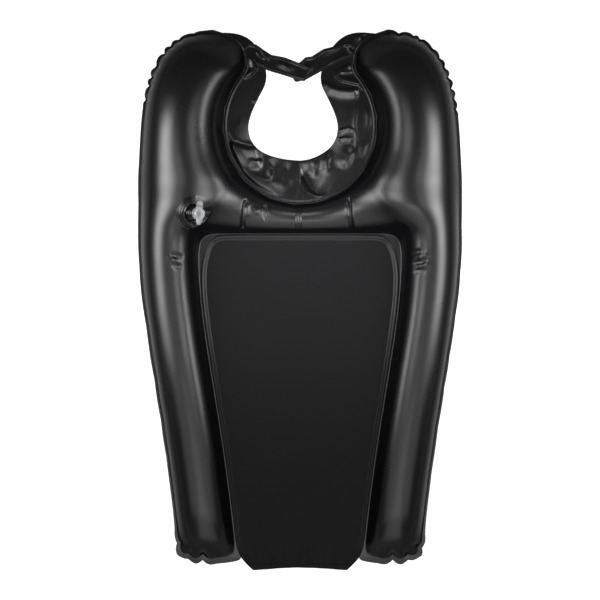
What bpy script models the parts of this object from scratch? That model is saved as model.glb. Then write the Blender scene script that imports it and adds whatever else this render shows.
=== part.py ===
# Portable shampoo basin: an inflatable tray of black film that lies with its neck collar towards +Y
# and its open drain end towards -Y. Two side tubes and a bridge tube hold a flat floor between them.
# Metres, +Z up. Everything is modelled flat in the seam plane, which the root empty then tilts so
# that the shoulders and the drain end both rest on z = 0 and the floor falls towards the drain.
import bpy
import bmesh
from math import cos, sin, radians, pi, asin
from mathutils import Vector, Matrix
from mathutils.bvhtree import BVHTree

# Whole tray
overall_length = 0.720
overall_width = 0.430
drain_end_width = 0.330
film = 0.0005
seat_gap = 0.0003
outer_flange = 0.006
end_flange = 0.008
inner_flange = 0.008
notch_flange = 0.006

# Side tubes and horns
shoulder_tube = 0.105
side_tube = 0.071
shoulder_sink_share = 0.085
drain_sink_share = 0.12
horn_reach = 0.1185
horn_tip_shares = (1.02, 137.0 / 180.0)
tube_end_bulge = 0.004
horn_tip_bulge = 0.016
# Share of the way from the tube end to the bridge, and of the widening from the drain end
side_shares = ((0.0, -0.06), (0.065, 0.01), (0.204, 0.143), (0.389, 0.364), (0.59, 0.645),
               (0.775, 0.885), (0.905, 1.0))
# Angle on the notch as a share of a half turn from straight back, outer seam as shares of the
# half width and of the horn's rise above the notch's centre
horn_shares = ((0.389, 0.994, -0.40), (0.5, 0.983, 0.03), (0.594, 0.953, 0.45),
               (0.672, 0.864, 0.805), (0.733, 0.72, 1.0))
horn_end_shares = (0.545, 1.045)

# Neck notch and bridge tube
notch_radius = 0.1035
notch_reach = 0.130
bridge_tube = 0.038
junction_share = 0.278
junction_height = 0.040
bridge_spread = 2.5
# Share of the way from the tray's middle to the junction, at each column of the bridge
bridge_shares = (1.0, 0.75, 0.5, 0.25, 0.0)

# Basin floor
basin_top_width = 0.270
floor_inset = 0.0015
floor_film = 0.0006
drain_lip = 0.0195
lip_notch = 0.004
lip_width = 0.134
# Share of the floor's half width, and of the notch in its lip, at each column
floor_column_shares = ((-1.0, 0.0), (-0.5, 0.0), (0.0, 1.0), (0.5, 0.0), (1.0, 0.0))

# Collar
collar_film = 0.0004
collar_sag = 0.007
weld_band = 0.0185
flat_span_limit_share = 0.5
fold_height = 0.0016
neck_width = 0.1165
neck_shift = -0.0092
neck_depth = 0.1120
neck_back_reach = 0.1750
shift_gain = 1.6
# Share of the way over the loose film, and of its sag, at each column of the collar
collar_column_shares = ((0.0, 0.0), (0.5, 0.62), (1.0, 1.0))
# Neck edge beside each weld point, from the middle of the back round to the horn's tip: shares of
# the neck's half width, of its depth, of the sag and of the fold height
neck_shares = ((0.0, 0.0, 1.0, 0.0), (0.25, 0.01, 1.0, 0.0), (0.50, 0.045, 1.0, 0.6),
               (0.76, 0.11, 1.0, -0.7), (0.93, 0.20, 1.0, 0.8), (1.02, 0.32, 0.95, -0.6),
               (1.02, 0.46, 0.9, 0.9), (0.90, 0.62, 0.8, -1.0), (0.74, 0.79, 0.6, 0.9),
               (0.60, 0.92, 0.35, -0.4), (0.62, 1.10, 0.1, 0.0), (0.86, 1.31, 0.0, 0.0),
               (1.20, 1.465, 0.0, 0.0), (1.56, 1.548, 0.0, 0.0))

# Front tabs
tab_width = 0.0255
tab_length = 0.0785
tab_root_offset = 0.0620
tab_root_reach = 0.0325
tab_slope = radians(21.0)
tab_film = 0.0008
tab_corner = 0.004
tab_nose_share = 0.2
tab_ramp_start = 0.25
tab_ramp_share = 0.4
corner_cut_share = 0.3
pad_length = 0.018
pad_width = 0.016
pad_pile = 0.001

# Seam tapes
tape_width = 0.013
collar_tape_width = 0.0087
tape_film = 0.0004
tape_end_share = 0.35

# Valve
valve_across_share = 0.67
valve_from_front = 0.2438
valve_lean = radians(25.0)
valve_tilt = radians(4.0)
valve_disc_radius = 0.022
valve_disc_film = 0.001
boot_radius = 0.0117
boot_height = 0.0160
boot_wall = 0.0009
boot_root_depth = 0.003
boot_rings = 4
ring_depth = 0.0012
stem_radius = 0.0062
bore_radius = 0.0042
stem_top = 0.0200
stem_depth = 0.0100
stem_lip = 0.0010
stem_lip_height = 0.0016
plug_radius = 0.0073
plug_head = 0.0022
plug_boss_length = 0.0070
plug_clearance = 0.0002
dimple_radius = 0.0042
dimple_depth = 0.0009
tongue_width = 0.0085
tongue_root_share = 0.8
upper_tongue = 0.0170
lower_tongue = 0.0125
tongue_thickness = 0.0014
tether_width = 0.0045
tether_ring = 0.0022
tether_root_share = 0.6
flap_thickness = 0.0007
flap_overlap = 0.0012
flap_hinge_width = 0.0040
cut_overrun = 0.010

# Finishes: colour, roughness, alpha, coat
black = ((0.012, 0.012, 0.014), 0.28, 1.0, 0.3)
matt = ((0.014, 0.014, 0.015), 0.6, 1.0, 0.0)
soft = ((0.015, 0.015, 0.016), 0.4, 1.0, 0.0)
clear = ((0.85, 0.87, 0.88), 0.12, 0.5, 0.0)
fleece = ((0.01, 0.01, 0.01), 0.95, 1.0, 0.0)

# Facets
arc_steps = 4
turn_steps = 28
disc_rings = 5
corner_steps = 3
root_steps = 6
strip_steps = 8
loop_steps = 8
merge_distance = 0.00001

# Worked out from the sizes above
front_y = overall_length / 2
drain_y = -overall_length / 2
flange_top = seat_gap / 2 + film
tube_end_y = drain_y + drain_lip
notch_y = front_y - notch_reach
basin_top_y = notch_y - notch_radius - bridge_tube
half_width = overall_width / 2 - outer_flange
drain_half = drain_end_width / 2 - outer_flange
junction_angle = junction_share * pi
arc_gain = 4 / (3 + cos(pi / arc_steps))
shoulder_rest = shoulder_tube / 2 * (1 - shoulder_sink_share)
drain_rest = side_tube / 2 * (1 - drain_sink_share)
drain_rest_y = tube_end_y + side_tube
tilt = asin((shoulder_rest - drain_rest) / (notch_y - drain_rest_y))
seam_height = shoulder_rest - notch_y * sin(tilt)


def clear_scene():
    for thing in list(bpy.data.objects):
        bpy.data.objects.remove(thing, do_unlink=True)


def new_collection(name):
    collection = bpy.data.collections.new(name)
    bpy.context.scene.collection.children.link(collection)
    return collection


def painted(thing, finish):
    colour, roughness, alpha, coat = finish
    material = bpy.data.materials.new(thing.name)
    material.use_nodes = True
    shader = material.node_tree.nodes["Principled BSDF"]
    shader.inputs["Base Color"].default_value = (*colour, 1.0)
    shader.inputs["Roughness"].default_value = roughness
    shader.inputs["Metallic"].default_value = 0.0
    shader.inputs["Alpha"].default_value = alpha
    shader.inputs["Coat Weight"].default_value = coat
    thing.data.materials.clear()
    thing.data.materials.append(material)


def place(thing, collection, parent=None, finish=None):
    collection.objects.link(thing)
    thing.parent = parent
    if finish:
        painted(thing, finish)
    return thing


def empty(name, parent, location=(0, 0, 0), rotation=(0, 0, 0)):
    axis = bpy.data.objects.new(name, None)
    axis.empty_display_size = tab_width
    axis.location = location
    axis.rotation_euler = rotation
    return place(axis, parts, parent)


def mesh_object(name, verts, faces, creases=()):
    mesh = bpy.data.meshes.new(name)
    mesh.from_pydata(verts, [], faces)
    if creases:
        layer = mesh.attributes.new("crease_edge", "FLOAT", "EDGE")
        wanted = {frozenset(pair) for pair in creases}
        for edge in mesh.edges:
            layer.data[edge.index].value = float(frozenset(edge.vertices) in wanted)
    return bpy.data.objects.new(name, mesh)


def grid_object(name, rows, flip=False):
    columns = len(rows[0])
    verts = [point for row in rows for point in row]
    faces = []
    for r in range(len(rows) - 1):
        for c in range(columns - 1):
            a = r * columns + c
            quad = (a, a + 1, a + 1 + columns, a + columns)
            faces.append(quad[::-1] if flip else quad)
    return mesh_object(name, verts, faces)


def smooth(thing, angle=radians(35)):
    thing.data.shade_smooth()
    thing.data.set_sharp_from_angle(angle=angle)


def thicken(thing, thickness, side):
    # side 1 grows outwards from the surface, -1 inwards
    solid = thing.modifiers.new("Film", "SOLIDIFY")
    solid.thickness = thickness
    solid.offset = side
    solid.use_even_offset = True


def soften(thing, corners="ALL"):
    # One level; ALL rounds the outline's corners and PRESERVE_CORNERS keeps them
    subdivision = thing.modifiers.new("Soft form", "SUBSURF")
    subdivision.levels = 1
    subdivision.render_levels = 1
    subdivision.boundary_smooth = corners


def lerp(a, b, share):
    return a + (b - a) * share


# Plan outline of the air chamber, for the half at +X


def notch_point(angle, radius=notch_radius):
    # angle 0 points straight back, towards the bridge
    return Vector((radius * sin(angle), notch_y - radius * cos(angle)))


def side_stations():
    rows = []
    for along, widening in side_shares:
        y = lerp(tube_end_y, basin_top_y, along)
        x = lerp(drain_half, half_width, widening)
        rows.append((Vector((x, y)), Vector((x - side_tube, y))))
    top = Vector((basin_top_width / 2, rows[-1][1].y))
    rows[-1] = (rows[-1][0], top)
    return rows


def bridge_section(share):
    # Lower and upper seam of the bridge, and its height, at a share of the way to the junction
    low = Vector((basin_top_width / 2 * share, basin_top_y))
    high = notch_point(junction_angle * share)
    height = lerp(bridge_tube / 2, junction_height, share ** bridge_spread)
    return low, high, height


def arc_points(low, high, height):
    # Half ring of cage points from one seam to the other, first and last on the seams
    points = []
    for step in range(arc_steps + 1):
        angle = pi * step / arc_steps
        gain = 1.0 if step in (0, arc_steps) else arc_gain
        flat = (low + high) / 2 - (high - low) / 2 * cos(angle) * gain
        points.append(Vector((flat.x, flat.y, flange_top + height * sin(angle) * gain)))
    return points


def horn_stations():
    rows = []
    for angle, across, rise in horn_shares:
        outer = Vector((half_width * across, notch_y + horn_reach * rise))
        rows.append((outer, notch_point(angle * pi)))
    across, rise = horn_end_shares
    flare, angle = horn_tip_shares
    rows.append((Vector((half_width * across, notch_y + horn_reach * rise)),
                 notch_point(angle * pi, notch_radius * flare)))
    return rows


def right_of(a, b):
    # Unit vector in the seam plane, to the right of the way from a to b
    way = (b - a).normalized()
    return Vector((way.y, -way.x, 0))


def chamber_cage():
    # Cage points by (row, column): column 0 is the outer flange's edge, 1 the outer seam, 5 the
    # inner seam, 6 the inner flange's edge, and 7 and up run along the bridge to the middle
    sides, horns = side_stations(), horn_stations()
    cage = {}
    row = 1
    for outer, inner in sides:
        fill_row(cage, row, outer, inner)
        row += 1
    first = row
    low, high, _ = bridge_section(1.0)
    for step in range(arc_steps + 1):
        angle = pi * step / arc_steps
        inner = lerp(low, high, (1 - cos(angle)) / 2)
        outer_y = lerp(basin_top_y, horns[0][0].y, step / (arc_steps + 1))
        outer = Vector((half_width, outer_y))
        fill_row(cage, row + step, outer, inner)
        for column, share in enumerate(bridge_shares):
            section = arc_points(*bridge_section(share))[step]
            cage[row + step, 5 + column] = section
        crest, junction = cage[row + step, 3], cage[row + step, 5]
        blend = sin(angle) ** 2
        cage[row + step, 4].z = lerp(cage[row + step, 4].z, (crest.z + junction.z) / 2, blend)
    row += arc_steps + 1
    for outer, inner in horns:
        fill_row(cage, row, outer, inner)
        row += 1
    last = row - 1
    flatten_end(cage, 1, Vector((0, -1)), tube_end_bulge)
    tip = (cage[last, 5] + cage[last, 1]) / 2 - (cage[last - 2, 5] + cage[last - 2, 1]) / 2
    flatten_end(cage, last, Vector((tip.x, tip.y)).normalized(), horn_tip_bulge)
    add_flanges(cage, first, first + arc_steps, last)
    return cage, first, first + arc_steps, last


def fill_row(cage, row, outer, inner):
    height = min((outer - inner).length, shoulder_tube) / 2
    for step, point in enumerate(arc_points(outer, inner, height)):
        cage[row, 1 + step] = point


def flatten_end(cage, row, way, bulge):
    # The two films meet along the end seam, which bows outwards
    for column in range(1, arc_steps + 2):
        swell = bulge * sin(pi * (column - 1) / arc_steps)
        point = cage[row, column]
        flat = lerp(cage[row, 1], cage[row, arc_steps + 1], (column - 1) / arc_steps)
        cage[row, column] = Vector((flat.x + way.x * swell, flat.y + way.y * swell, flange_top))


def seam_path(cage, low_row, high_row, last):
    # Right half's seam from the middle of the basin's top edge, down the inside, round the drain
    # end, up the outside, round the horn's tip and back along the notch to the middle
    inner = arc_steps + 1
    centre = max(column for _, column in cage)
    path = [(low_row, column) for column in range(centre, inner, -1)]
    path += [(row, inner) for row in range(low_row, 1, -1)]
    path += [(1, column) for column in range(inner, 1, -1)]
    path += [(row, 1) for row in range(1, last)]
    path += [(last, column) for column in range(1, inner)]
    path += [(row, inner) for row in range(last, high_row, -1)]
    return path + [(high_row, column) for column in range(inner, centre + 1)]


def add_flanges(cage, low_row, high_row, last):
    # A flat band outside the seam: one cage point beside each seam point, three round each corner
    inner = arc_steps + 1
    path = seam_path(cage, low_row, high_row, last)
    centre = path[0][1]
    corners = {(1, inner): ((1, inner + 1), (0, inner + 1), (0, inner)),
               (1, 1): ((0, 1), (0, 0), (1, 0)),
               (last, 1): ((last, 0), (last + 1, 0), (last + 1, 1)),
               (last, inner): ((last + 1, inner), (last + 1, inner + 1), (last, inner + 1))}
    shared = ((low_row, inner + 1), (low_row - 1, inner), (high_row, inner + 1), (high_row + 1, inner))
    mirror = Vector((-1, 1, 1))
    band = {}
    for number, key in enumerate(path):
        here = cage[key]
        before = cage[path[number - 1]] if number else cage[path[1]] * mirror
        after = cage[path[number + 1]] if number + 1 < len(path) else cage[path[-2]] * mirror
        first, second = right_of(before, here), right_of(here, after)
        both = (first + second) / (1 + first.dot(second))
        row, column = key
        if key in corners:
            wide = outer_flange if row == last else end_flange
            for spot, way in zip(corners[key], (first, (first + second).normalized(), second)):
                band[spot] = here + way * wide
        elif key == (low_row, inner):
            band[low_row - 1, inner + 1] = here + both * inner_flange
        elif key == (high_row, inner):
            angle = (junction_share + horn_shares[0][0]) / 2 * pi
            band[high_row + 1, inner + 1] = notch_point(angle, notch_radius - notch_flange).to_3d()
            band[high_row + 1, inner + 1].z = flange_top
        elif key in shared:
            continue
        elif row == 1:
            band[0, column] = here + both * end_flange
        elif row == last:
            band[last + 1, column] = here + both * outer_flange
        elif column == 1:
            band[row, 0] = here + both * outer_flange
        elif column == inner:
            band[row, inner + 1] = here + both * (inner_flange if row < low_row else notch_flange)
        else:
            beside, wide = (low_row - 1, inner_flange) if row == low_row else (high_row + 1, notch_flange)
            band[beside, column] = here + both * wide
    cage.update(band)


def skin_mesh(name, cage, low_row, high_row, last, across, up):
    # across 1 is the right half, -1 the left; up 1 is the upper film, -1 the lower
    keys = sorted(cage)
    index = {key: number for number, key in enumerate(keys)}
    verts = []
    for key in keys:
        point = cage[key]
        x = max(point.x, seat_gap / 2)
        verts.append((x * across, point.y, point.z * up))
    faces = []
    for row, column in keys:
        quad = [(row, column), (row, column + 1), (row + 1, column + 1), (row + 1, column)]
        if all(key in index for key in quad):
            quad = [index[key] for key in quad]
            faces.append(quad if across * up < 0 else quad[::-1])
    path = seam_path(cage, low_row, high_row, last)
    creases = [(index[a], index[b]) for a, b in zip(path, path[1:])]
    thing = mesh_object(name, verts, faces, creases)
    soften(thing)
    parts.objects.link(thing)
    shape = bpy.context.evaluated_depsgraph_get()
    dense = bpy.data.meshes.new_from_object(thing.evaluated_get(shape))
    bpy.data.objects.remove(thing)
    return dense


def rest_level(y):
    # The table's height below the seam plane, in the seam plane's own axes
    return -(seam_height + y * sin(tilt)) / cos(tilt)


def split_quads(mesh):
    # The valve's disc is seated on these same triangles
    form = bmesh.new()
    form.from_mesh(mesh)
    bmesh.ops.triangulate(form, faces=form.faces, quad_method="FIXED")
    form.to_mesh(mesh)
    form.free()


def build_skins(root):
    cage, low_row, high_row, last = chamber_cage()
    skins = {}
    for half, across in (("left", -1), ("right", 1)):
        for layer, up in (("upper", 1), ("lower", -1)):
            name = f"{layer}_skin_{half}"
            dense = skin_mesh(name, cage, low_row, high_row, last, across, up)
            if up < 0:
                for vert in dense.vertices:
                    vert.co.z = max(vert.co.z, rest_level(vert.co.y))
            split_quads(dense)
            dense.name = name
            if name == "upper_skin_left":
                skins["seat"] = dense.copy()
            skin = bpy.data.objects.new(name, dense)
            skins[name] = place(skin, parts, root, black)
            thicken(skin, film, -1)
            smooth(skin)
    return skins


def refined(points):
    # The same rounding that one level of Subdivision Surface gives a line with fixed ends
    line = [points[0]]
    for before, here, after in zip(points, points[1:], points[2:]):
        line += [(before + here) / 2, (before + here * 6 + after) / 8]
    return line + [(points[-2] + points[-1]) / 2, points[-1]]


def build_bridge_tapes(root):
    edge = tape_width / 2 / (basin_top_width / 2)
    low, high, height = bridge_section(edge)
    ring = refined(arc_points(low, high, height))
    middle = (ring[0] + ring[-1]) / 2
    lift = seat_gap + seat_gap
    line = []
    for point in ring:
        way = (point - middle)
        way.x = 0
        line.append(point + way.normalized() * lift)
    line[0] = lerp(line[0], line[1], tape_end_share)
    line[-1] = lerp(line[-1], line[-2], tape_end_share)
    for layer, up in (("upper", 1), ("lower", -1)):
        rows = [[(side * tape_width / 2, p.y, p.z * up) for side in (-1, 1)] for p in line]
        tape = grid_object(f"bridge_seam_tape_{layer}", rows, flip=up < 0)
        place(tape, parts, root, black)
        thicken(tape, tape_film, 1)
        smooth(tape)


def floor_level():
    return flange_top + seat_gap


def build_floor(root):
    # Seam stations pulled in by the inset, from the drain lip to the bridge
    edges = [Vector((lip_width / 2, drain_y - lip_notch / 4))]
    edges += [Vector((inner.x - floor_inset, inner.y)) for _, inner in side_stations()]
    edges.append(Vector((basin_top_width / 2 - floor_inset, basin_top_y - floor_inset)))
    shares = floor_column_shares
    rows = [[(edge.x * share, edge.y, floor_level()) for share, _ in shares] for edge in edges]
    rows[0] = [(x, y + lip_notch * back, z) for (x, y, z), (_, back) in zip(rows[0], shares)]
    panel = grid_object("floor_panel", rows)
    soften(panel)
    place(panel, parts, root, matt)
    thicken(panel, floor_film, 1)


def weld_line(cage, high_row, last):
    # Cage points just outside the seam, from the middle of the notch's back to the horn's tip
    inner = arc_steps + 1
    centre = max(column for _, column in cage)
    keys = [(high_row, column) for column in range(centre, inner - 1, -1)]
    keys += [(row, inner) for row in range(high_row + 1, last + 1)]
    keys += [(last, column) for column in range(inner - 1, 1, -1)]
    line = []
    for number, key in enumerate(keys):
        here = cage[key]
        before = cage[keys[number - 1]] if number else cage[keys[1]] * Vector((-1, 1, 1))
        after = cage[keys[number + 1]] if number + 1 < len(keys) else cage[last, 1]
        way = (right_of(after, here) + right_of(here, before)).normalized()
        line.append(here + way * floor_inset)
    return line


def build_collar(root):
    cage, _, high_row, last = chamber_cage()
    weld = weld_line(cage, high_row, last)
    back_y = front_y - neck_back_reach
    level = floor_level()
    profile = None
    for half, across in (("left", -1), ("right", 1)):
        rows = []
        for outer, (wide, deep, sag, fold) in zip(weld, neck_shares):
            shift = neck_shift * across * min(1.0, wide * shift_gain) * (1 - max(0.0, deep - 1.0))
            neck = Vector((neck_width / 2 * wide + shift, back_y + neck_depth * deep))
            # Flat over the flange, then down to the neck edge
            flat_span = min(weld_band / (neck - outer.xy).length, flat_span_limit_share)
            row = [(max(outer.x, seat_gap / 2) * across, outer.y, level)]
            for span, drop in collar_column_shares:
                flat = lerp(outer.xy, neck, lerp(flat_span, 1.0, span))
                z = level + (fold_height * fold - collar_sag * sag) * drop
                row.append((max(flat.x, seat_gap / 2) * across, flat.y, z))
            rows.append(row)
        profile = rows[0]
        collar = grid_object(f"collar_{half}", rows, flip=across > 0)
        soften(collar, "PRESERVE_CORNERS")
        place(collar, parts, root, black)
        thicken(collar, collar_film, 1)
    line = refined([Vector(point) for point in profile])
    start = lerp(line[0], line[1], seat_gap / floor_inset)
    line[0], line[-1] = start, lerp(line[-1], line[-2], seat_gap / floor_inset)
    lift = collar_film + seat_gap + seat_gap
    rows = [[(side * collar_tape_width / 2, p.y, p.z + lift) for side in (-1, 1)] for p in line]
    tape = grid_object("collar_seam_tape", rows)
    place(tape, parts, root, black)
    thicken(tape, tape_film, 1)


def tab_strip(name, low, high):
    # A flat strip along +X, round at its root, rising from one level to the other on its way
    half = tab_width / 2
    stations = []
    for step in range(root_steps):
        angle = pi / 2 * step / root_steps
        stations.append((-half * cos(angle), half * max(sin(angle), tab_nose_share)))
    for step in range(strip_steps):
        stations.append((tab_length * step / strip_steps, half))
    cut_back = tab_corner * corner_cut_share
    stations.append((tab_length - tab_corner, half))
    stations.append((tab_length - cut_back, half - cut_back))
    stations.append((tab_length, half - tab_corner))
    rows = []
    for along, wide in stations:
        share = min(max((along / tab_length - tab_ramp_start) / tab_ramp_share, 0.0), 1.0)
        z = lerp(low, high, share * share * (3 - 2 * share))
        rows.append([(along, side * wide, z) for side in (-1.0, 0.0, 1.0)])
    tab = grid_object(name, rows, flip=True)
    thicken(tab, tab_film, 1)
    return tab


def rounded_plate(name, length, width, thickness, corner):
    outline = []
    for quarter, (x, y) in enumerate(((1, 1), (-1, 1), (-1, -1), (1, -1))):
        for step in range(corner_steps + 1):
            angle = pi / 2 * (quarter + step / corner_steps)
            outline.append((x * (length / 2 - corner) + corner * cos(angle),
                            y * (width / 2 - corner) + corner * sin(angle)))
    curve = bpy.data.curves.new(name, "CURVE")
    curve.dimensions = "2D"
    curve.fill_mode = "BOTH"
    curve.extrude = thickness / 2
    spline = curve.splines.new("POLY")
    spline.points.add(len(outline) - 1)
    for point, (x, y) in zip(spline.points, outline):
        point.co = (x, y, 0, 1)
    spline.use_cyclic_u = True
    return bpy.data.objects.new(name, curve)


def build_tabs(root):
    low = floor_level() + collar_film + seat_gap
    loop_level = low + tab_film + seat_gap
    hook_level = loop_level + pad_pile + seat_gap
    high = hook_level + pad_pile + seat_gap
    crossing = tab_root_offset / cos(tab_slope)
    for half, across, top in (("left", -1, high), ("right", 1, low)):
        turn = -tab_slope if across < 0 else pi + tab_slope
        pivot = (across * tab_root_offset, front_y - tab_root_reach, 0)
        axis = empty(f"{half}_tab_axis", root, pivot, (0, 0, turn))
        place(tab_strip(f"{half}_tab", low, top), parts, axis, black)
        name, level = ("hook_pad", hook_level) if across < 0 else ("loop_pad", loop_level)
        pad = rounded_plate(name, pad_length, pad_width, pad_pile, tab_corner)
        pad.location = (crossing, 0, level + pad_pile / 2)
        place(pad, parts, axis, fleece)


def turned(name, profile, closed=True):
    # profile is (radius, height) from the top down the outer side
    count = len(profile)
    edges = [(n, n + 1) for n in range(count - 1)] + ([(count - 1, 0)] if closed else [])
    mesh = bpy.data.meshes.new(name)
    mesh.from_pydata([(radius, 0, height) for radius, height in profile], edges, [])
    thing = bpy.data.objects.new(name, mesh)
    screw = thing.modifiers.new("Turn", "SCREW")
    screw.steps = turn_steps
    screw.render_steps = turn_steps
    screw.use_merge_vertices = True
    screw.merge_threshold = merge_distance
    screw.use_smooth_shade = True
    return thing


def cylinder_cutter(name, radius, bottom, top, parent):
    bpy.ops.mesh.primitive_cylinder_add(vertices=turn_steps, radius=radius, depth=top - bottom)
    cutter = bpy.context.object
    cutter.name = name
    cutter.data.transform(Matrix.Translation((0, 0, (top + bottom) / 2)))
    for collection in cutter.users_collection:
        collection.objects.unlink(cutter)
    cutters.objects.link(cutter)
    cutter.parent = parent
    hide(cutter)
    return cutter


def hide(cutter):
    cutter.hide_render = True
    cutter.display_type = "WIRE"


def cut(thing, cutter, operation="DIFFERENCE"):
    boolean = thing.modifiers.new("Cut", "BOOLEAN")
    boolean.operation = operation
    boolean.solver = "EXACT"
    boolean.object = cutter


def valve_frame(seat):
    # Where the valve's axis meets the skin, and the lean of the axis, in the seam plane's axes
    tree = BVHTree.FromPolygons([v.co for v in seat.vertices], [p.vertices for p in seat.polygons])
    spot = (-half_width * valve_across_share, front_y - valve_from_front, shoulder_tube)
    hit = tree.ray_cast(Vector(spot), Vector((0, 0, -1)))[0]
    return hit, (valve_tilt, valve_lean, 0), tree


def seat_disc(name, tree, frame, inner, outer):
    # A washer whose points all lie on the skin under it, seen along the valve's axis
    back = frame.inverted()
    down = (frame.to_3x3() @ Vector((0, 0, -1))).normalized()
    rows = []
    for ring in range(disc_rings):
        radius = lerp(inner, outer, ring / (disc_rings - 1))
        row = []
        for step in range(turn_steps + 1):
            angle = 2 * pi * (step % turn_steps) / turn_steps
            above = frame @ Vector((radius * cos(angle), radius * sin(angle), shoulder_tube))
            hit = tree.ray_cast(above, down)[0]
            row.append(back @ hit + Vector((0, 0, seat_gap + seat_gap)))
        rows.append(row)
    disc = grid_object(name, rows, flip=True)
    weld = disc.modifiers.new("Close", "WELD")
    weld.merge_threshold = merge_distance
    thicken(disc, valve_disc_film, 1)
    return disc


def boot_profile():
    # Bellows: the radius steps in ring by ring; outer side from the top down, then up inside
    outer = [(stem_radius + seat_gap + boot_wall, boot_height)]
    for ring in range(boot_rings):
        share = (ring + 0.5) / boot_rings
        radius = lerp(stem_radius + seat_gap + boot_wall, boot_radius, share)
        height = lerp(boot_height, valve_disc_film, share)
        step = (boot_height - valve_disc_film) / boot_rings / 4
        outer.append((radius + ring_depth / 2, height + step))
        outer.append((radius - ring_depth / 4, height - step))
    outer += [(boot_radius, valve_disc_film), (boot_radius, -boot_root_depth)]
    return outer + [(radius - boot_wall, height) for radius, height in reversed(outer)]


def stem_profile():
    rim = stem_radius + stem_lip
    return [(bore_radius, stem_top), (rim, stem_top), (rim, stem_top - stem_lip_height),
            (stem_radius, stem_top - stem_lip_height - stem_lip), (stem_radius, -stem_depth),
            (bore_radius, -stem_depth)]


def plug_profile():
    boss = bore_radius - plug_clearance
    under = stem_top + seat_gap
    top = under + plug_head
    return [(0, top - dimple_depth), (dimple_radius, top - dimple_depth),
            (dimple_radius + dimple_depth / 2, top), (plug_radius - plug_head / 4, top),
            (plug_radius, top - plug_head / 4), (plug_radius, under),
            (boss, under), (boss, under - plug_boss_length + plug_clearance * 2),
            (boss - plug_clearance * 2, under - plug_boss_length), (0, under - plug_boss_length)]


def tongue(name, near, far, level, parent):
    corner = tongue_width / 4
    plate = rounded_plate(name, abs(far - near), tongue_width, tongue_thickness, corner)
    plate.location = (0, (near + far) / 2, level + tongue_thickness / 2)
    plate.rotation_euler = (0, 0, pi / 2)
    return place(plate, parts, parent)


def as_mesh(thing):
    # A mesh object in place of a curve, with its caps welded on
    parent, name = thing.parent, thing.name
    bpy.context.view_layer.update()
    shape = bpy.context.evaluated_depsgraph_get()
    mesh = bpy.data.meshes.new_from_object(thing.evaluated_get(shape))
    form = bmesh.new()
    form.from_mesh(mesh)
    bmesh.ops.remove_doubles(form, verts=form.verts, dist=merge_distance)
    bmesh.ops.recalc_face_normals(form, faces=form.faces)
    form.to_mesh(mesh)
    form.free()
    mesh.transform(thing.matrix_basis)
    bpy.data.objects.remove(thing)
    solid = bpy.data.objects.new(name, mesh)
    return place(solid, parts, parent)


def join(thing, piece):
    # piece becomes part of thing
    piece.name = f"{thing.name}_joined"
    for collection in piece.users_collection:
        collection.objects.unlink(piece)
    cutters.objects.link(piece)
    hide(piece)
    cut(thing, piece, "UNION")


def build_valve(root, skins):
    hit, lean, tree = valve_frame(skins["seat"])
    axis = empty("valve_axis", root, hit, lean)
    frame = Matrix.LocRotScale(hit, axis.rotation_euler, None)
    opening = boot_radius + seat_gap
    hole = cylinder_cutter("valve_hole", opening, -cut_overrun, cut_overrun, axis)
    cut(skins["upper_skin_left"], hole)
    place(seat_disc("valve_flange", tree, frame, opening, valve_disc_radius), parts, axis, soft)
    place(turned("valve_boot", boot_profile()), parts, axis, soft)
    slide = empty("stem_axis", axis)
    place(turned("valve_stem", stem_profile()), parts, slide, clear)
    pull = empty("plug_axis", slide)
    plug = place(turned("valve_plug", plug_profile(), closed=False), parts, pull, clear)
    under = stem_top + seat_gap
    inside = plug_radius * tongue_root_share
    for name, near, far in (("upper", inside, upper_tongue), ("lower", -inside, -lower_tongue)):
        blade = tongue(f"plug_{name}_tongue", near, far, under, pull)
        join(plug, as_mesh(blade))
    build_tether(slide)
    flap_y = bore_radius + flap_overlap
    hinge = empty("flap_axis", slide, (0, flap_y, -stem_depth - seat_gap - flap_thickness / 2))
    bpy.ops.mesh.primitive_cylinder_add(vertices=turn_steps, radius=flap_y, depth=flap_thickness)
    flap = bpy.context.object
    flap.name = "check_flap"
    for collection in flap.users_collection:
        collection.objects.unlink(flap)
    flap.data.transform(Matrix.Translation((0, -flap_y, 0)))
    place(flap, parts, hinge, clear)


def build_tether(slide):
    # A ring round the stem, and a strap that folds up from it to the plug's lower tongue
    low = boot_height + seat_gap
    high = stem_top - stem_lip_height - stem_lip - seat_gap
    inner = stem_radius + seat_gap
    outer = inner + tether_ring
    ring = turned("plug_tether", [(inner, high), (outer, high), (outer, low), (inner, low)])
    place(ring, parts, slide, clear)
    level = (low + high) / 2
    top = stem_top - tongue_thickness / 2
    line = [(-lerp(inner, outer, tether_root_share), level)]
    middle, radius = (level + top) / 2, (top - level) / 2
    for step in range(loop_steps + 1):
        angle = pi * (step / loop_steps - 1 / 2)
        line.append((-(lower_tongue + radius * cos(angle)), middle + radius * sin(angle)))
    line.append((tether_width - lower_tongue, top))
    rows = [[(side * tether_width / 2, y, z) for side in (-1, 1)] for y, z in line]
    strap = grid_object("tether_strap", rows)
    place(strap, parts, slide, clear)
    thicken(strap, tongue_thickness / 2, 1)
    join(ring, strap)


def centre_on_origin(root):
    # The origin is the middle of the box's bottom
    bpy.context.view_layer.update()
    shape = bpy.context.evaluated_depsgraph_get()
    low, high = Vector((1, 1, 1)), Vector((-1, -1, -1))
    for thing in parts.objects:
        if thing.type == "EMPTY":
            continue
        solid = thing.evaluated_get(shape)
        mesh = solid.to_mesh()
        for vert in mesh.vertices:
            spot = solid.matrix_world @ vert.co
            low = Vector(map(min, low, spot))
            high = Vector(map(max, high, spot))
        solid.to_mesh_clear()
    root.location.x -= (low.x + high.x) / 2
    root.location.y -= (low.y + high.y) / 2
    bpy.context.view_layer.update()


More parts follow.
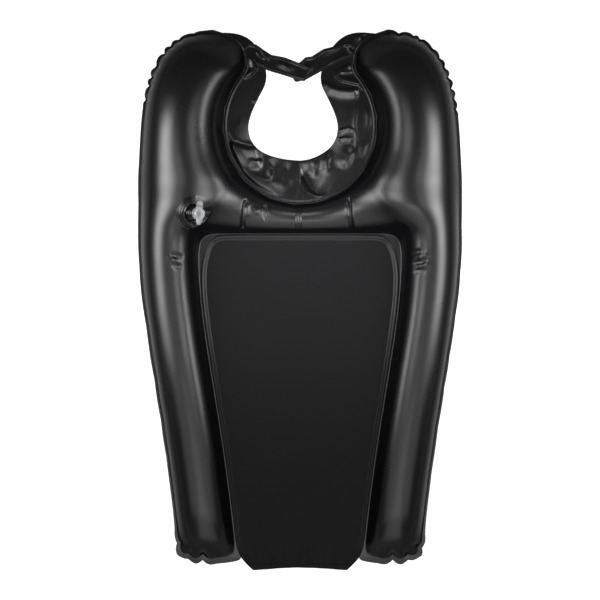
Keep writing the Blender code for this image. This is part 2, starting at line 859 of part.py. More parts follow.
def main():
    root = empty("seam_plane", None, (0, 0, seam_height), (tilt, 0, 0))
    skins = build_skins(root)
    build_bridge_tapes(root)
    build_floor(root)
    build_collar(root)
    build_tabs(root)
    build_valve(root, skins)
    centre_on_origin(root)
    for thing in parts.objects:
        if thing.type == "EMPTY":
            spot = thing.matrix_world.translation
            way = thing.matrix_world.to_3x3() @ Vector((0, 0, 1))
            print(thing.name, [round(v, 6) for v in spot], [round(v, 6) for v in way])


clear_scene()
parts = new_collection("portable_shampoo_basin")
cutters = new_collection("cutters")
main()
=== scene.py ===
from math import asin, cos, pi, radians, sin, tan

import bmesh
import bpy
import numpy as np
from mathutils import Matrix, Vector
from mathutils.bvhtree import BVHTree


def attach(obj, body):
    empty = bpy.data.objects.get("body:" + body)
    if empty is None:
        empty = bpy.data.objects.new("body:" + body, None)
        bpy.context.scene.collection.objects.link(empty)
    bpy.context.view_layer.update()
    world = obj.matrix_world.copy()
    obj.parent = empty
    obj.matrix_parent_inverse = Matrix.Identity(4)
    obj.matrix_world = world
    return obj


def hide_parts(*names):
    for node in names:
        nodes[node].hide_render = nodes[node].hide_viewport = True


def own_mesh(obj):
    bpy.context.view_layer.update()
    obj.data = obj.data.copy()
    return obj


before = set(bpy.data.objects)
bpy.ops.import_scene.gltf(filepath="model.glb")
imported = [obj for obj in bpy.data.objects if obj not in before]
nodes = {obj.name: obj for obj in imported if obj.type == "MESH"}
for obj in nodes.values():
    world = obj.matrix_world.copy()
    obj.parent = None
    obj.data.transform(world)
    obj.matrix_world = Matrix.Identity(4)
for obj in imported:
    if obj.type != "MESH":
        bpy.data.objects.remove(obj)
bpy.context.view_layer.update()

# Lengths are in metres, but in millimetres in the tables of folds, pleats and edges. The tray is
# shaped in the plane of its weld, which then tilts to the table: x to the right, y towards the
# collar, z out of the plane.
tray = {
    "length": 0.720, "width": 0.430, "drainWidth": 0.330,
    "weldHalf": 0.00065, "outerFlange": 0.0025, "endFlange": 0.008,
    "innerFlange": 0.012, "notchFlange": 0.006,
    "tiltSine": 0.033629, "height": 0.040302, "shift": 0.000371,
    "gap": 0.0003,  # between two films or mouldings that lie on each other
}

air = {
    "shoulder": 0.105, "side": 0.0745, "hornRise": 0.1218, "tipFlare": 1.02, "tipAngle": 137 / 180,
    "endBulge": 0.004, "tipBulge": 0.016,
    # share of the way up, share of the widening, fullness above a round section
    "sides": ((0.0, -0.06, 0.96), (0.065, 0.01, 0.96), (0.204, 0.143, 0.96), (0.389, 0.364, 0.96),
              (0.59, 0.645, 0.98), (0.775, 0.885, 1.04), (0.905, 1.0, 1.12)),
    "joinFullness": (1.19, 1.13, 1.02, 1.0, 1.0), "hornFullness": (1.0, 0.995, 0.95, 0.83, 0.74, 0.7),
    "horns": ((0.389, 0.994, -0.40), (0.5, 0.983, 0.03), (0.594, 0.953, 0.45),
              (0.672, 0.864, 0.805), (0.733, 0.72, 1.0)),
    "hornEnd": (0.545, 1.032),
    "levels": 4, "smallLevels": 3,
}

notch = {
    "radius": 0.1035, "reach": 0.130, "bridge": 0.038, "junction": 0.278, "junctionHeight": 0.040,
    "spread": 2.5, "columns": (1.0, 0.75, 0.5, 0.25, 0.0),
}

basin = {
    "topWidth": 0.270, "inset": 0.0015, "cornerCut": 0.016, "film": 0.0006,
    "lip": 0.0195, "lipNotch": 0.004,
}

ringSteps = 4
ringGain = 3 / (2 + cos(pi / ringSteps))
topY = tray["length"] / 2
drainY = -topY
endY = basin["lip"] + drainY
notchY = topY - notch["reach"]
notchBackY = notchY - notch["radius"]
basinTopY = notchBackY - notch["bridge"]
halfWidth = tray["width"] / 2 - tray["outerFlange"]
drainHalf = tray["drainWidth"] / 2 - tray["outerFlange"]
junctionAngle = notch["junction"] * pi
tilt = asin(tray["tiltSine"])
trayFrame = Matrix.Translation((0, tray["shift"], tray["height"])) @ Matrix.Rotation(tilt, 4, "X")
filmLevel = tray["weldHalf"] + tray["gap"]  # where the sheets lie that are welded on
mirror = Vector((-1, 1, 1))


def lerp(a, b, share):
    return a + (b - a) * share


def ramp(value, low, high):
    share = np.clip((np.asarray(value, float) - low) / (high - low), 0, 1)
    return share * share * (3 - 2 * share)


def crest(value, middle, wide):
    # 1 at the middle, fading out over the width to both sides
    return np.exp(-((value - middle) / wide) ** 2)


def report(stage):
    print(f"shampoo basin: {stage}")


class Wire:
    # A socket that adds up in Python; every other node comes from node()
    def __init__(self, tree, socket=None):
        self.tree = tree
        self.socket = socket

    def node(self, kind, settings=None, sockets=None, out=0):
        made = self.tree.nodes.new(kind)
        for name, value in (settings or {}).items():
            if name == "stops":
                while len(made.color_ramp.elements) < len(value):
                    made.color_ramp.elements.new(0.5)
                for element, (place, shade) in zip(made.color_ramp.elements, value):
                    element.position = place
                    element.color = (shade, shade, shade, 1)
            else:
                setattr(made, name, value)
        for name, value in (sockets or {}).items():
            if isinstance(value, Wire):
                self.tree.links.new(value.socket, made.inputs[name])
            else:
                made.inputs[name].default_value = value
        return Wire(self.tree, made.outputs[out] if made.outputs else None)

    def maths(self, operation, first, second=0.0):
        return self.node("ShaderNodeMath", {"operation": operation}, {0: first, 1: second})

    def __add__(self, other):
        return self.maths("ADD", self, other)

    def __sub__(self, other):
        return self.maths("SUBTRACT", self, other)

    def __mul__(self, other):
        return self.maths("MULTIPLY", self, other)

    def __rsub__(self, other):
        return self.maths("SUBTRACT", other, self)

    __radd__ = __add__
    __rmul__ = __mul__

    def mix(self, dark, light):
        # self is the share of light; both are colours
        colours = {0: self, 6: (*dark, 1), 7: (*light, 1)}
        return self.node("ShaderNodeMix", {"data_type": "RGBA"}, colours, 2)


def newMaterial(name):
    material = bpy.data.materials.new(name)
    material.use_nodes = True
    material.node_tree.nodes.clear()
    return material, Wire(material.node_tree)


def noise(wire, place, scale, detail=3.0, roughness=0.5):
    sockets = {"Vector": place, "Scale": scale, "Detail": detail, "Roughness": roughness}
    return wire.node("ShaderNodeTexNoise", {"noise_dimensions": "3D"}, sockets)


def surface(wire, fixed, varied, grazing=None, weld=None):
    # fixed holds plain socket values, varied holds wires, grazing the gloss seen at a low angle,
    # weld the gloss where the weld's heat has melted the film smooth
    sockets = {**fixed, **varied}
    shader = wire.node("ShaderNodeBsdfPrincipled", {}, sockets)
    if grazing is not None:
        dull = wire.node("ShaderNodeBsdfPrincipled", {}, {**sockets, "Specular IOR Level": grazing})
        facing = wire.node("ShaderNodeLayerWeight", {}, {"Blend": 0.5}, 1)
        # the change comes where the film has turned away by 38 to 51 degrees
        share = wire.node("ShaderNodeMapRange", {"interpolation_type": "SMOOTHSTEP"},
                          {"Value": facing, "From Min": 0.21, "From Max": 0.37})
        shader = wire.node("ShaderNodeMixShader", {}, {0: share, 1: shader, 2: dull})
    if weld is not None:
        melted = {"Roughness": weld["rough"], "Specular IOR Level": weld["gloss"]}
        shiny = wire.node("ShaderNodeBsdfPrincipled", {}, {**sockets, **melted})
        share = wire.node("ShaderNodeAttribute", {"attribute_name": "weld"}, out=2)
        shader = wire.node("ShaderNodeMixShader", {}, {0: share, 1: shader, 2: shiny})
    wire.node("ShaderNodeOutputMaterial", {}, {"Surface": shader})


def bump(wire, height, distance, strength=1.0, under=None):
    sockets = {"Height": height, "Distance": distance, "Strength": strength}
    if under:
        sockets["Normal"] = under
    return wire.node("ShaderNodeBump", {}, sockets)


everyFilm = {
    # sizes of the clouds, smears, orange peel and waves, and where smears leave dull marks
    "clouds": 14.0, "smears": 46.0, "peel": 260.0, "peelDepth": 0.00004, "waves": 55.0,
    "marks": ((0.42, 0.0), (0.72, 1.0)), "markRough": 0.03, "cloudShare": 0.6,
}

filmLooks = {
    # dark and light ends of the colour, gloss face on and at a low angle, roughness from and to,
    # grain size and depth, depth of the sheet's waves, look of the melted weld
    "tube film": {
        "dark": (0.0030, 0.0031, 0.0036), "light": (0.0055, 0.0057, 0.0066), "gloss": 0.50, "grazing": 0.05,
        "rough": (0.25, 0.31), "grain": 900, "grainDepth": 0.00002, "sheet": 0.00005},
    "floor film": {
        "dark": (0.0040, 0.0041, 0.0047), "light": (0.0062, 0.0064, 0.0072), "gloss": 0.12, "grazing": 0.12,
        "rough": (0.48, 0.58), "grain": 1400, "grainDepth": 0.00006, "sheet": 0.00005,
        "weld": {"rough": 0.28, "gloss": 0.36}},
    "collar film": {
        "dark": (0.0020, 0.0020, 0.0024), "light": (0.0042, 0.0043, 0.0050), "gloss": 0.45, "grazing": 0.15,
        "rough": (0.20, 0.27), "grain": 800, "grainDepth": 0.00001, "sheet": 0.00008},
}


def filmMaterial(look):
    # Soft vinyl film: near-black, with a faint orange-peel surface and dull handling marks
    given = {**everyFilm, **filmLooks[look]}
    material, wire = newMaterial(look)
    place = wire.node("ShaderNodeTexCoord", out=3)
    cloud = noise(wire, place, given["clouds"], 4.0)
    smear = noise(wire, place, given["smears"], 5.0, 0.65)
    peel = noise(wire, place, given["peel"], 2.0)
    grain = noise(wire, place, given["grain"], 2.0)
    marks = wire.node("ShaderNodeValToRGB", {"stops": given["marks"]}, {0: smear})
    (low, high), share = given["rough"], given["cloudShare"]
    rough = cloud * (high - low) + low + marks * given["markRough"]
    colour = (cloud * share + smear * (1 - share)).mix(given["dark"], given["light"])
    waves = bump(wire, noise(wire, place, given["waves"], 2.0), given["sheet"])
    peeled = bump(wire, peel, given["peelDepth"], under=waves)
    normal = bump(wire, grain, given["grainDepth"], under=peeled)
    surface(wire, {"IOR": 1.5, "Specular IOR Level": given["gloss"]},
            {"Base Color": colour, "Roughness": rough, "Normal": normal}, given["grazing"], given.get("weld"))
    return material


def notchPoint(angle, radius=notch["radius"]):
    # Plan of the air tubes, here and below for the half at +x
    return Vector((radius * sin(angle), notchY - radius * cos(angle)))


def sideStations():
    rows = []
    for along, widening, full in air["sides"]:
        y = lerp(endY, basinTopY, along)
        x = lerp(drainHalf, halfWidth, widening)
        rows.append((Vector((x, y)), Vector((x - air["side"], y)), full))
    rows[-1] = (rows[-1][0], Vector((basin["topWidth"] / 2, rows[-1][1].y)), rows[-1][2])
    return rows


def bridgeSection(share):
    low = Vector((basin["topWidth"] / 2 * share, basinTopY))
    height = lerp(notch["bridge"] / 2, notch["junctionHeight"], share ** notch["spread"])
    return low, notchPoint(junctionAngle * share), height


def arcPoints(low, high, height):
    points = []
    for step in range(ringSteps + 1):
        angle = pi * step / ringSteps
        gain = 1.0 if step in (0, ringSteps) else ringGain
        flat = (low + high) / 2 - (high - low) / 2 * cos(angle) * gain
        points.append(Vector((flat.x, flat.y, tray["weldHalf"] + height * sin(angle) * gain)))
    return points


def hornStations():
    rows = [(Vector((halfWidth * across, notchY + air["hornRise"] * rise)), notchPoint(angle * pi))
            for angle, across, rise in air["horns"]]
    across, rise = air["hornEnd"]
    tip = notchPoint(air["tipAngle"] * pi, notch["radius"] * air["tipFlare"])
    return rows + [(Vector((halfWidth * across, notchY + air["hornRise"] * rise)), tip)]


def fillRow(cage, row, outer, inner, full=1.0):
    height = min(min((outer - inner).length, air["shoulder"]) * full, air["shoulder"]) / 2
    for step, point in enumerate(arcPoints(outer, inner, height)):
        cage[row, 1 + step] = point


def flattenEnd(cage, row, way, bulge):
    for column in range(1, ringSteps + 2):
        swell = bulge * sin(pi * (column - 1) / ringSteps)
        flat = lerp(cage[row, 1], cage[row, ringSteps + 1], (column - 1) / ringSteps)
        cage[row, column] = Vector((flat.x + way.x * swell, flat.y + way.y * swell, tray["weldHalf"]))


def chamberCage():
    # Column 1 is the outer weld, 5 the inner one, 7 and up run along the bridge to the middle
    cage, row = {}, 1
    horns = hornStations()
    for outer, inner, full in sideStations():
        fillRow(cage, row, outer, inner, full)
        row += 1
    first = row
    low, high, _ = bridgeSection(1.0)
    for step in range(ringSteps + 1):
        angle = pi * step / ringSteps
        inner = lerp(low, high, (1 - cos(angle)) / 2)
        outerY = lerp(basinTopY, horns[0][0].y, step / (ringSteps + 1))
        fillRow(cage, row + step, Vector((halfWidth, outerY)), inner, air["joinFullness"][step])
        for column, share in enumerate(notch["columns"]):
            cage[row + step, 5 + column] = arcPoints(*bridgeSection(share))[step]
        crest, junction = cage[row + step, 3], cage[row + step, 5]
        fourth = cage[row + step, 4]
        fourth.z = lerp(fourth.z, (crest.z + junction.z) / 2, sin(angle) ** 2)
    row += ringSteps + 1
    for (outer, inner), full in zip(horns, air["hornFullness"]):
        fillRow(cage, row, outer, inner, full)
        row += 1
    last = row - 1
    flattenEnd(cage, 1, Vector((0, -1)), air["endBulge"])
    tip = (cage[last, 5] + cage[last, 1]) / 2 - (cage[last - 2, 5] + cage[last - 2, 1]) / 2
    flattenEnd(cage, last, Vector((tip.x, tip.y)).normalized(), air["tipBulge"])
    addFlanges(cage, first, first + ringSteps, last)
    return cage, first, first + ringSteps, last


def weldPath(cage, lowRow, highRow, last):
    inner = ringSteps + 1
    centre = max(column for _, column in cage)
    path = [(lowRow, column) for column in range(centre, inner, -1)]
    path += [(row, inner) for row in range(lowRow, 1, -1)]
    path += [(1, column) for column in range(inner, 1, -1)]
    path += [(row, 1) for row in range(1, last)]
    path += [(last, column) for column in range(1, inner)]
    path += [(row, inner) for row in range(last, highRow, -1)]
    return path + [(highRow, column) for column in range(inner, centre + 1)]


def rightOf(a, b):
    way = (b - a).normalized()
    return Vector((way.y, -way.x, 0))


def addFlanges(cage, lowRow, highRow, last):
    inner = ringSteps + 1
    path = weldPath(cage, lowRow, highRow, last)
    corners = {(1, inner): ((1, inner + 1), (0, inner + 1), (0, inner)),
               (1, 1): ((0, 1), (0, 0), (1, 0)),
               (last, 1): ((last, 0), (last + 1, 0), (last + 1, 1)),
               (last, inner): ((last + 1, inner), (last + 1, inner + 1), (last, inner + 1))}
    shared = ((lowRow, inner + 1), (lowRow - 1, inner), (highRow, inner + 1), (highRow + 1, inner))
    band = {}
    for number, key in enumerate(path):
        here = cage[key]
        before = cage[path[number - 1]] if number else cage[path[1]] * mirror
        after = cage[path[number + 1]] if number + 1 < len(path) else cage[path[-2]] * mirror
        one, two = rightOf(before, here), rightOf(here, after)
        both = (one + two) / (1 + one.dot(two))
        row, column = key
        if key in corners:
            wide = tray["outerFlange"] if row == last else tray["endFlange"]
            for spot, way in zip(corners[key], (one, (one + two).normalized(), two)):
                band[spot] = here + way * wide
        elif key == (lowRow, inner):
            band[lowRow - 1, inner + 1] = here + both * tray["innerFlange"]
        elif key == (highRow, inner):
            angle = (notch["junction"] + air["horns"][0][0]) / 2 * pi
            spot = notchPoint(angle, notch["radius"] - tray["notchFlange"]).to_3d()
            spot.z = tray["weldHalf"]
            band[highRow + 1, inner + 1] = spot
        elif key in shared:
            continue
        elif row == 1:
            band[0, column] = here + both * tray["endFlange"]
        elif row == last:
            band[last + 1, column] = here + both * tray["outerFlange"]
        elif column == 1:
            band[row, 0] = here + both * tray["outerFlange"]
        elif column == inner:
            wide = tray["innerFlange"] if row < lowRow else tray["notchFlange"]
            band[row, inner + 1] = here + both * wide
        elif row == lowRow:
            band[lowRow - 1, column] = here + both * tray["innerFlange"]
        else:
            band[highRow + 1, column] = here + both * tray["notchFlange"]
    cage.update(band)


def bare(name, mesh):
    piece = bpy.data.objects.new(name, mesh)
    bpy.context.scene.collection.objects.link(piece)
    return piece


def subdivided(mesh, levels, edges="PRESERVE_CORNERS"):
    # The mesh with its Subdivision Surface applied
    piece = bare("shape", mesh)
    soft = piece.modifiers.new("Soft", "SUBSURF")
    soft.levels = levels
    soft.boundary_smooth = edges
    dense = bpy.data.meshes.new_from_object(piece.evaluated_get(bpy.context.evaluated_depsgraph_get()))
    bpy.data.objects.remove(piece)
    bpy.data.meshes.remove(mesh)
    return dense


def pointsOf(mesh, what="co"):
    # Places or normals of a mesh's points, one row each
    found = np.empty(len(mesh.vertices) * 3)
    mesh.vertices.foreach_get(what, found)
    return found.reshape(-1, 3)


def gridMesh(name, rows, flip=False):
    wide = len(rows[0])
    faces = [(r * wide + c, r * wide + c + 1, r * wide + c + wide + 1, r * wide + c + wide)
             for r in range(len(rows) - 1) for c in range(wide - 1)]
    mesh = bpy.data.meshes.new(name)
    mesh.from_pydata([tuple(point) for row in rows for point in row], [],
                     [face[::-1] for face in faces] if flip else faces)
    return mesh


def dress(name, mesh, material, body, slot, *replaced, place=None, film=0, sharp=0):
    # The finished piece: in its place, smooth, painted, and carried by its body
    if place:
        mesh.transform(place)
    mesh.update()
    piece = bare(name, mesh)
    if film:
        thick = piece.modifiers.new("Film", "SOLIDIFY")
        thick.thickness = film
        thick.offset = 1
    mesh.shade_smooth()
    if sharp:
        mesh.set_sharp_from_angle(angle=radians(sharp))
    mesh.materials.append(material)
    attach(piece, body)
    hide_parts(*replaced)
    return piece


def tubeMesh():
    # Upper and lower film in one closed skin, with the flat flange between them all round
    cage, lowRow, highRow, last = chamberCage()
    centre = max(column for _, column in cage)
    verts, index, faces, creases = [], {}, [], set()

    def vert(key, across, up):
        name = (key, 0 if key[1] == centre else across, up)
        if name not in index:
            point = cage[key]
            index[name] = len(verts)
            verts.append((point.x * across if key[1] != centre else 0.0, point.y, point.z * up))
        return index[name]

    path = weldPath(cage, lowRow, highRow, last)
    for across in (-1, 1):
        rims = []
        for row, column in sorted(cage):
            quad = [(row, column), (row, column + 1), (row + 1, column + 1), (row + 1, column)]
            if not all(key in cage for key in quad):
                continue
            for up in (-1, 1):
                loop = [vert(key, across, up) for key in quad]
                faces.append(loop if across * up < 0 else loop[::-1])
            for a, b in zip(quad, quad[1:] + quad[:1]):
                rims.append((a, b))
        for a, b in rims:
            if (b, a) in rims or (a[1] == centre and b[1] == centre):
                continue
            top, low = [vert(k, across, 1) for k in (a, b)], [vert(k, across, -1) for k in (a, b)]
            side = [top[0], top[1], low[1], low[0]]
            faces.append(side if across > 0 else side[::-1])
            creases.update((frozenset(top), frozenset(low)))
        for a, b in zip(path, path[1:]):
            for up in (-1, 1):
                creases.add(frozenset((vert(a, across, up), vert(b, across, up))))
    mesh = bpy.data.meshes.new("tube")
    mesh.from_pydata(verts, [], faces)
    layer = mesh.attributes.new("crease_edge", "FLOAT", "EDGE")
    for edge in mesh.edges:
        layer.data[edge.index].value = float(frozenset(edge.vertices) in creases)
    loop = [np.array(cage[key]) for key in path]
    loop += [point * (-1, 1, 1) for point in reversed(loop[1:-1])]
    return mesh, np.array(loop)[:, :2]


def smoothLoop(points, times=5):
    # The line that Subdivision Surface gives a creased loop
    for _ in range(times):
        before, after = np.roll(points, 1, 0), np.roll(points, -1, 0)
        fine = np.empty((len(points) * 2, 2))
        fine[0::2] = (before + points * 6 + after) / 8
        fine[1::2] = (points + after) / 2
        points = fine
    return points


puckers = {
    # from and to beside the weld, spacing between pleats, depth, reach over the film, frill of the
    # flange, all in millimetres, and the seed
    "zones": (
        ((-206, 250), (-125, 346), 15.5, 2.2, 7.5, 1.0, 11),
        ((112, 350), (206, 240), 15.0, 2.2, 7.5, 1.0, 29),
        ((-96, -348), (-160, -300), 23.0, 3.8, 7.0, 0.5, 5),
        ((160, -300), (96, -348), 22.0, 3.8, 7.0, 0.5, 8),
        ((-168, -280), (-206, 190), 62.0, 0.35, 12.0, 0.0, 17),
        ((206, 190), (168, -280), 57.0, 0.35, 12.0, 0.0, 23),
        ((-78, 292), (78, 292), 31.0, 0.5, 16.0, 0.0, 31),
    ),
    # least and most of a zone's depth, reach and spacing that one pleat takes
    "depths": (0.55, 1.3), "reaches": (0.6, 1.5), "spacings": (0.65, 1.35),
    "onset": 0.0035, "bulge": 0.225, "sharpness": 4.0, "fade": 0.006, "planShare": 1.25,
    "endShare": 0.35, "frillShare": 0.35,
    # size and share of the drain end's rounded corner, and how far its flange hangs down
    "corner": 0.040, "cornerCut": 0.34, "droop": 0.0050,
}

# Folds of the tubes' upper film, as foldHeights reads them
tubeFolds = (
    (((-176, 58.1), (-166, 53.5), (-157.7, 48.9)), 2.2, 1.6, 0.35),
    (((-171.6, 60.8), (-163, 59.7), (-152, 57)), 2, -1.8, 0.3),
    (((-170, 50), (-162, 46.5), (-153.5, 43.2)), 2.4, -1.6, 0.35),
    (((153.8, 55.3), (161, 58.5), (168.5, 62.5)), 2.6, 1.4, 0.35),
    (((153.8, 43.8), (162, 46.5), (170.5, 50)), 2.6, 1.3, 0.35),
    (((145.5, 48.2), (157, 51), (169, 55.2)), 2.2, -1.8, 0.3),
    (((144, 61.5), (153, 64), (162, 67)), 2.4, -1.5, 0.35),
    (((146.5, 37.8), (156, 39.8), (166, 43)), 2.6, -1.4, 0.35),
    # where the bridge leaves the shoulders
    (((-70.5, 134.5), (-73.7, 122.2), (-74.7, 108), (-76, 93)), 1.6, -4.2, 0.12),
    (((-68, 130), (-70, 121), (-70.3, 108)), 1.8, 1.2, 0.3),
    (((63.6, 137.8), (65.8, 125.1), (66.8, 105.6), (69.9, 90.2)), 1.6, -4.2, 0.12),
    (((61.5, 127), (62.8, 118), (63.5, 106)), 1.8, 1.2, 0.3),
    # wrinkle across the bridge
    (((-47.2, 129), (-45.8, 121), (-46.4, 112), (-45, 103)), 1.5, -2.4, 0.25),
    (((-60, 124), (-58, 119), (-58.5, 112)), 4.5, 1.2, 0.4),
    (((-44, 123), (-42.8, 118), (-43.6, 112)), 1.4, 0.8, 0.4),
)

wholeTube = {
    "drift": 0.00028, "driftSize": 0.075, "seed": 3, "press": 0.002,
    # rise of the normals over which folds set in, and height over which the drift does
    "upper": (0.0, 0.25), "high": (0.004, 0.015),
}


def hashed(number, seed):
    # A repeatable value from 0 to 1
    value = np.sin(number * 12.9898 + seed * 78.233) * 43758.5453
    return value - np.floor(value)


def nearestOn(points, line, closed):
    # For each point, the distance to the line, the length along it and the side it lies on
    ends = np.roll(line, -1, 0) if closed else line[1:]
    starts = line if closed else line[:-1]
    ways = ends - starts
    lengths = np.maximum(np.linalg.norm(ways, axis=1), 1e-9)
    sums = np.concatenate(([0.0], np.cumsum(lengths)))
    best = np.full(len(points), 1e9)
    along, side = np.zeros(len(points)), np.zeros(len(points))
    for start, way, length, before in zip(starts, ways, lengths, sums):
        offset = points - start
        share = np.clip((offset @ way) / length ** 2, 0, 1)
        across = offset - share[:, None] * way
        distance = np.hypot(across[:, 0], across[:, 1])
        near = distance < best
        best[near] = distance[near]
        along[near] = before + share[near] * length
        side[near] = np.sign(way[0] * offset[near, 1] - way[1] * offset[near, 0])
    return best, along, side, sums[-1]


def foldHeights(points, folds):
    # A fold has a line, its half width or those to the left and right, its height, below zero a
    # valley, and the share of its ends that fades; all but the share are in millimetres
    height = np.zeros(len(points))
    for line, *wide, rise, fade in folds:
        line, wide = np.array(line) / 1000, np.array(wide) / 1000
        reach = wide.max() * 4
        near = np.all((points > line.min(0) - reach) & (points < line.max(0) + reach), axis=1)
        if not near.any():
            continue
        distance, along, side, total = nearestOn(points[near], line, False)
        ends = ramp(along / total, 0, fade) * ramp(1 - along / total, 0, fade)
        height[near] += rise / 1000 * crest(distance, 0, np.where(side > 0, wide[0], wide[-1])) * ends
    return height


def drift(co, given, side=0):
    # Slow, repeatable unevenness from a few crossed waves
    seed, total = given["seed"] + side, np.zeros(len(co))
    for wave in range(5):
        angle = 2 * pi * hashed(wave + 1.0, seed)
        phase = 2 * pi * hashed(wave + 7.0, seed)
        length = given["driftSize"] * (0.7 + 0.8 * hashed(wave + 3.0, seed))
        total += np.sin((co[:, 0] * cos(angle) + co[:, 1] * sin(angle)) * 2 * pi / length + phase)
    return given["drift"] * total / 5


def pleats(zone, loop, sums):
    # Places along the weld where the film is gathered, with each pleat's depth, reach and frill
    first, last, *sizes, seed = zone
    spacing, depth, reach, frill = np.array(sizes) / 1000
    nearest = (np.argmin(np.hypot(*(loop - np.array(end) / 1000).T)) for end in (first, last))
    start, stop = sorted(sums[list(nearest)])
    found, place, number = [], start, 0
    while place < stop:
        share = min(1.0, min(place - start, stop - place) / (spacing * 2) + puckers["endShare"])
        found.append((place, depth * lerp(*puckers["depths"], hashed(number, seed)) * share,
                      reach * lerp(*puckers["reaches"], hashed(number + 0.5, seed)), frill * share))
        place += spacing * lerp(*puckers["spacings"], hashed(number + 0.25, seed))
        number += 1
    return found


def gather(mesh, loop):
    # Pleats beside the weld, and the frilled flange outside it
    given = puckers
    co = pointsOf(mesh)
    distance, along, _, total = nearestOn(co[:, :2], loop, True)
    ways = np.roll(loop, -1, 0) - loop
    sums = np.concatenate(([0.0], np.cumsum(np.hypot(*ways.T))))[:-1]
    way = ways[np.clip(np.searchsorted(sums, along) - 1, 0, len(loop) - 1)]
    way = way / np.linalg.norm(way, axis=1)[:, None]
    level = np.abs(co[:, 2]) - tray["weldHalf"]
    inside = level > 1e-5
    # distance over the film: round the tube rather than across the plan
    over = np.where(inside, np.hypot(distance, level), 0.0)
    beyond = np.where(inside, 0.0, distance)
    fade = np.exp(-over / given["fade"])
    lift, plan, wave = np.zeros((3, len(co)))
    swing = -1
    for zone in given["zones"]:
        made = pleats(zone, loop, sums)
        for before, (place, depth, reach, frill), after in zip(made, made[1:], made[2:]):
            offset = (along - place + total / 2) % total - total / 2
            share = np.abs(offset) / min(place - before[0], after[0] - place)
            near = share < 1
            valley = np.exp(-share * given["sharpness"]) * (1 - share)
            crown = 1 - np.cos(2 * pi * np.minimum(share, 1))
            shape = np.where(near, crown * given["bulge"] / 2 - valley, 0.0) * depth
            lift += shape * (1 - np.exp(-over / given["onset"])) * np.exp(-over / reach) * inside
            plan += shape * given["planShare"] * fade
            swing = -swing
            frilled = fade * (given["frillShare"] + beyond / given["fade"])
            wave += np.where(near, np.cos(pi * share / 2) ** 2, 0) * swing * frill * frilled
    co += pointsOf(mesh, "normal") * lift[:, None]
    co[:, :2] += np.stack((way[:, 1], -way[:, 0]), 1) * plan[:, None]
    co[:, 2] += wave
    return co


def roundCorners(co):
    # The outer corners of the drain end, drawn in towards a quarter circle
    size = puckers["corner"]
    across = np.clip((np.abs(co[:, 0]) - tray["drainWidth"] / 2 + size) / size, 0, 1)
    down = np.clip((drainY + size - co[:, 1]) / size, 0, 1)
    pull = puckers["cornerCut"] * (across * down) ** 2 * size
    co[:, 0] -= np.sign(co[:, 0]) * pull * across
    co[:, 1] += pull * down
    past = np.clip((endY - co[:, 1]) / basin["lip"], 0, 1)
    co[:, 2] -= puckers["droop"] * past ** 2


def buildTube(pocket):
    given = wholeTube
    mesh, corners = tubeMesh()
    dense = subdivided(mesh, air["levels"])
    co = gather(dense, smoothLoop(corners)[::4])  # every fourth point is close enough
    roundCorners(co)
    normal = pointsOf(dense, "normal")
    height = foldHeights(co[:, :2], tubeFolds) * ramp(normal[:, 2], *given["upper"])
    height += drift(co, given) * ramp(np.abs(co[:, 2]), *given["high"])
    co += normal * height[:, None]
    # pressed flat by the table
    table = -(tray["height"] + co[:, 1] * sin(tilt)) / cos(tilt)
    under, press = co[:, 2] - table, given["press"]
    eased = table + press * np.exp(np.minimum(under - press, 0) / press)
    co[:, 2] = np.where(under < press, eased, co[:, 2])
    dense.vertices.foreach_set("co", co.ravel())
    dense.transform(trayFrame)
    sinkPocket(dense, pocket)
    piece = dress("airTube", dense, filmMaterial("tube film"), "shell", "black_film",
                  "upper_skin_left", "upper_skin_right", "lower_skin_left", "lower_skin_right")
    report(f"tube, {len(dense.polygons)} faces")
    return piece


floorSheet = {
    "cut": (0.270, 0.411), "tip": 0.0625, "tipCut": 0.002, "levels": 5,
    # shares of the half width where the cage has points, at the free end and further in
    "endColumns": (0.45, 0.97, 1), "columns": (0.45, 0.8, 1),
    "sag": 0.0016, "loose": (0.004, 0.05), "drift": 0.00035, "driftSize": 0.11, "seed": 4,
    # weld down the sides: beads, and where it starts; the film is free below
    "bead": 0.0007, "beadWidth": 0.0009, "beadInsets": (0.0022, 0.0058),
    "welded": (-0.335, -0.315), "free": (-0.352, -0.325),
    # height, length and phase of the free edge's waves
    "waves": ((0.0012, 0.06, 1.1), (0.0006, 0.023, 0.0)),
    "hem": 0.0075, "hemSoft": 0.0008, "hemRise": 0.0004,
    # rim that the weld has melted smooth: its width, and its share from the drain half to the top
    "rim": 0.0078, "rimSoft": 0.001, "rimShares": (0.2, 1.0), "rimChange": (-0.12, 0.04),
    "folds": (
        (((84, 64), (100, 56), (112, 45)), 3.5, 0.7, 0.4),
        (((66, 60), (92, 44), (110, 26)), 4, -0.6, 0.4),
        (((74, 48), (96, 30)), 4.5, 0.5, 0.4),
        (((-108, 62), (-94, 68), (-76, 70)), 3.5, 0.6, 0.4),
        (((-98, -262), (-84, -270), (-70, -269)), 4, 0.6, 0.4),
        (((-94, -280), (-84, -292), (-78, -308)), 4, -0.6, 0.4),
        (((98, -260), (86, -270), (80, -279)), 4, 0.6, 0.4),
        (((92, -286), (80, -300), (78, -318)), 4, -0.6, 0.4),
    ),
}


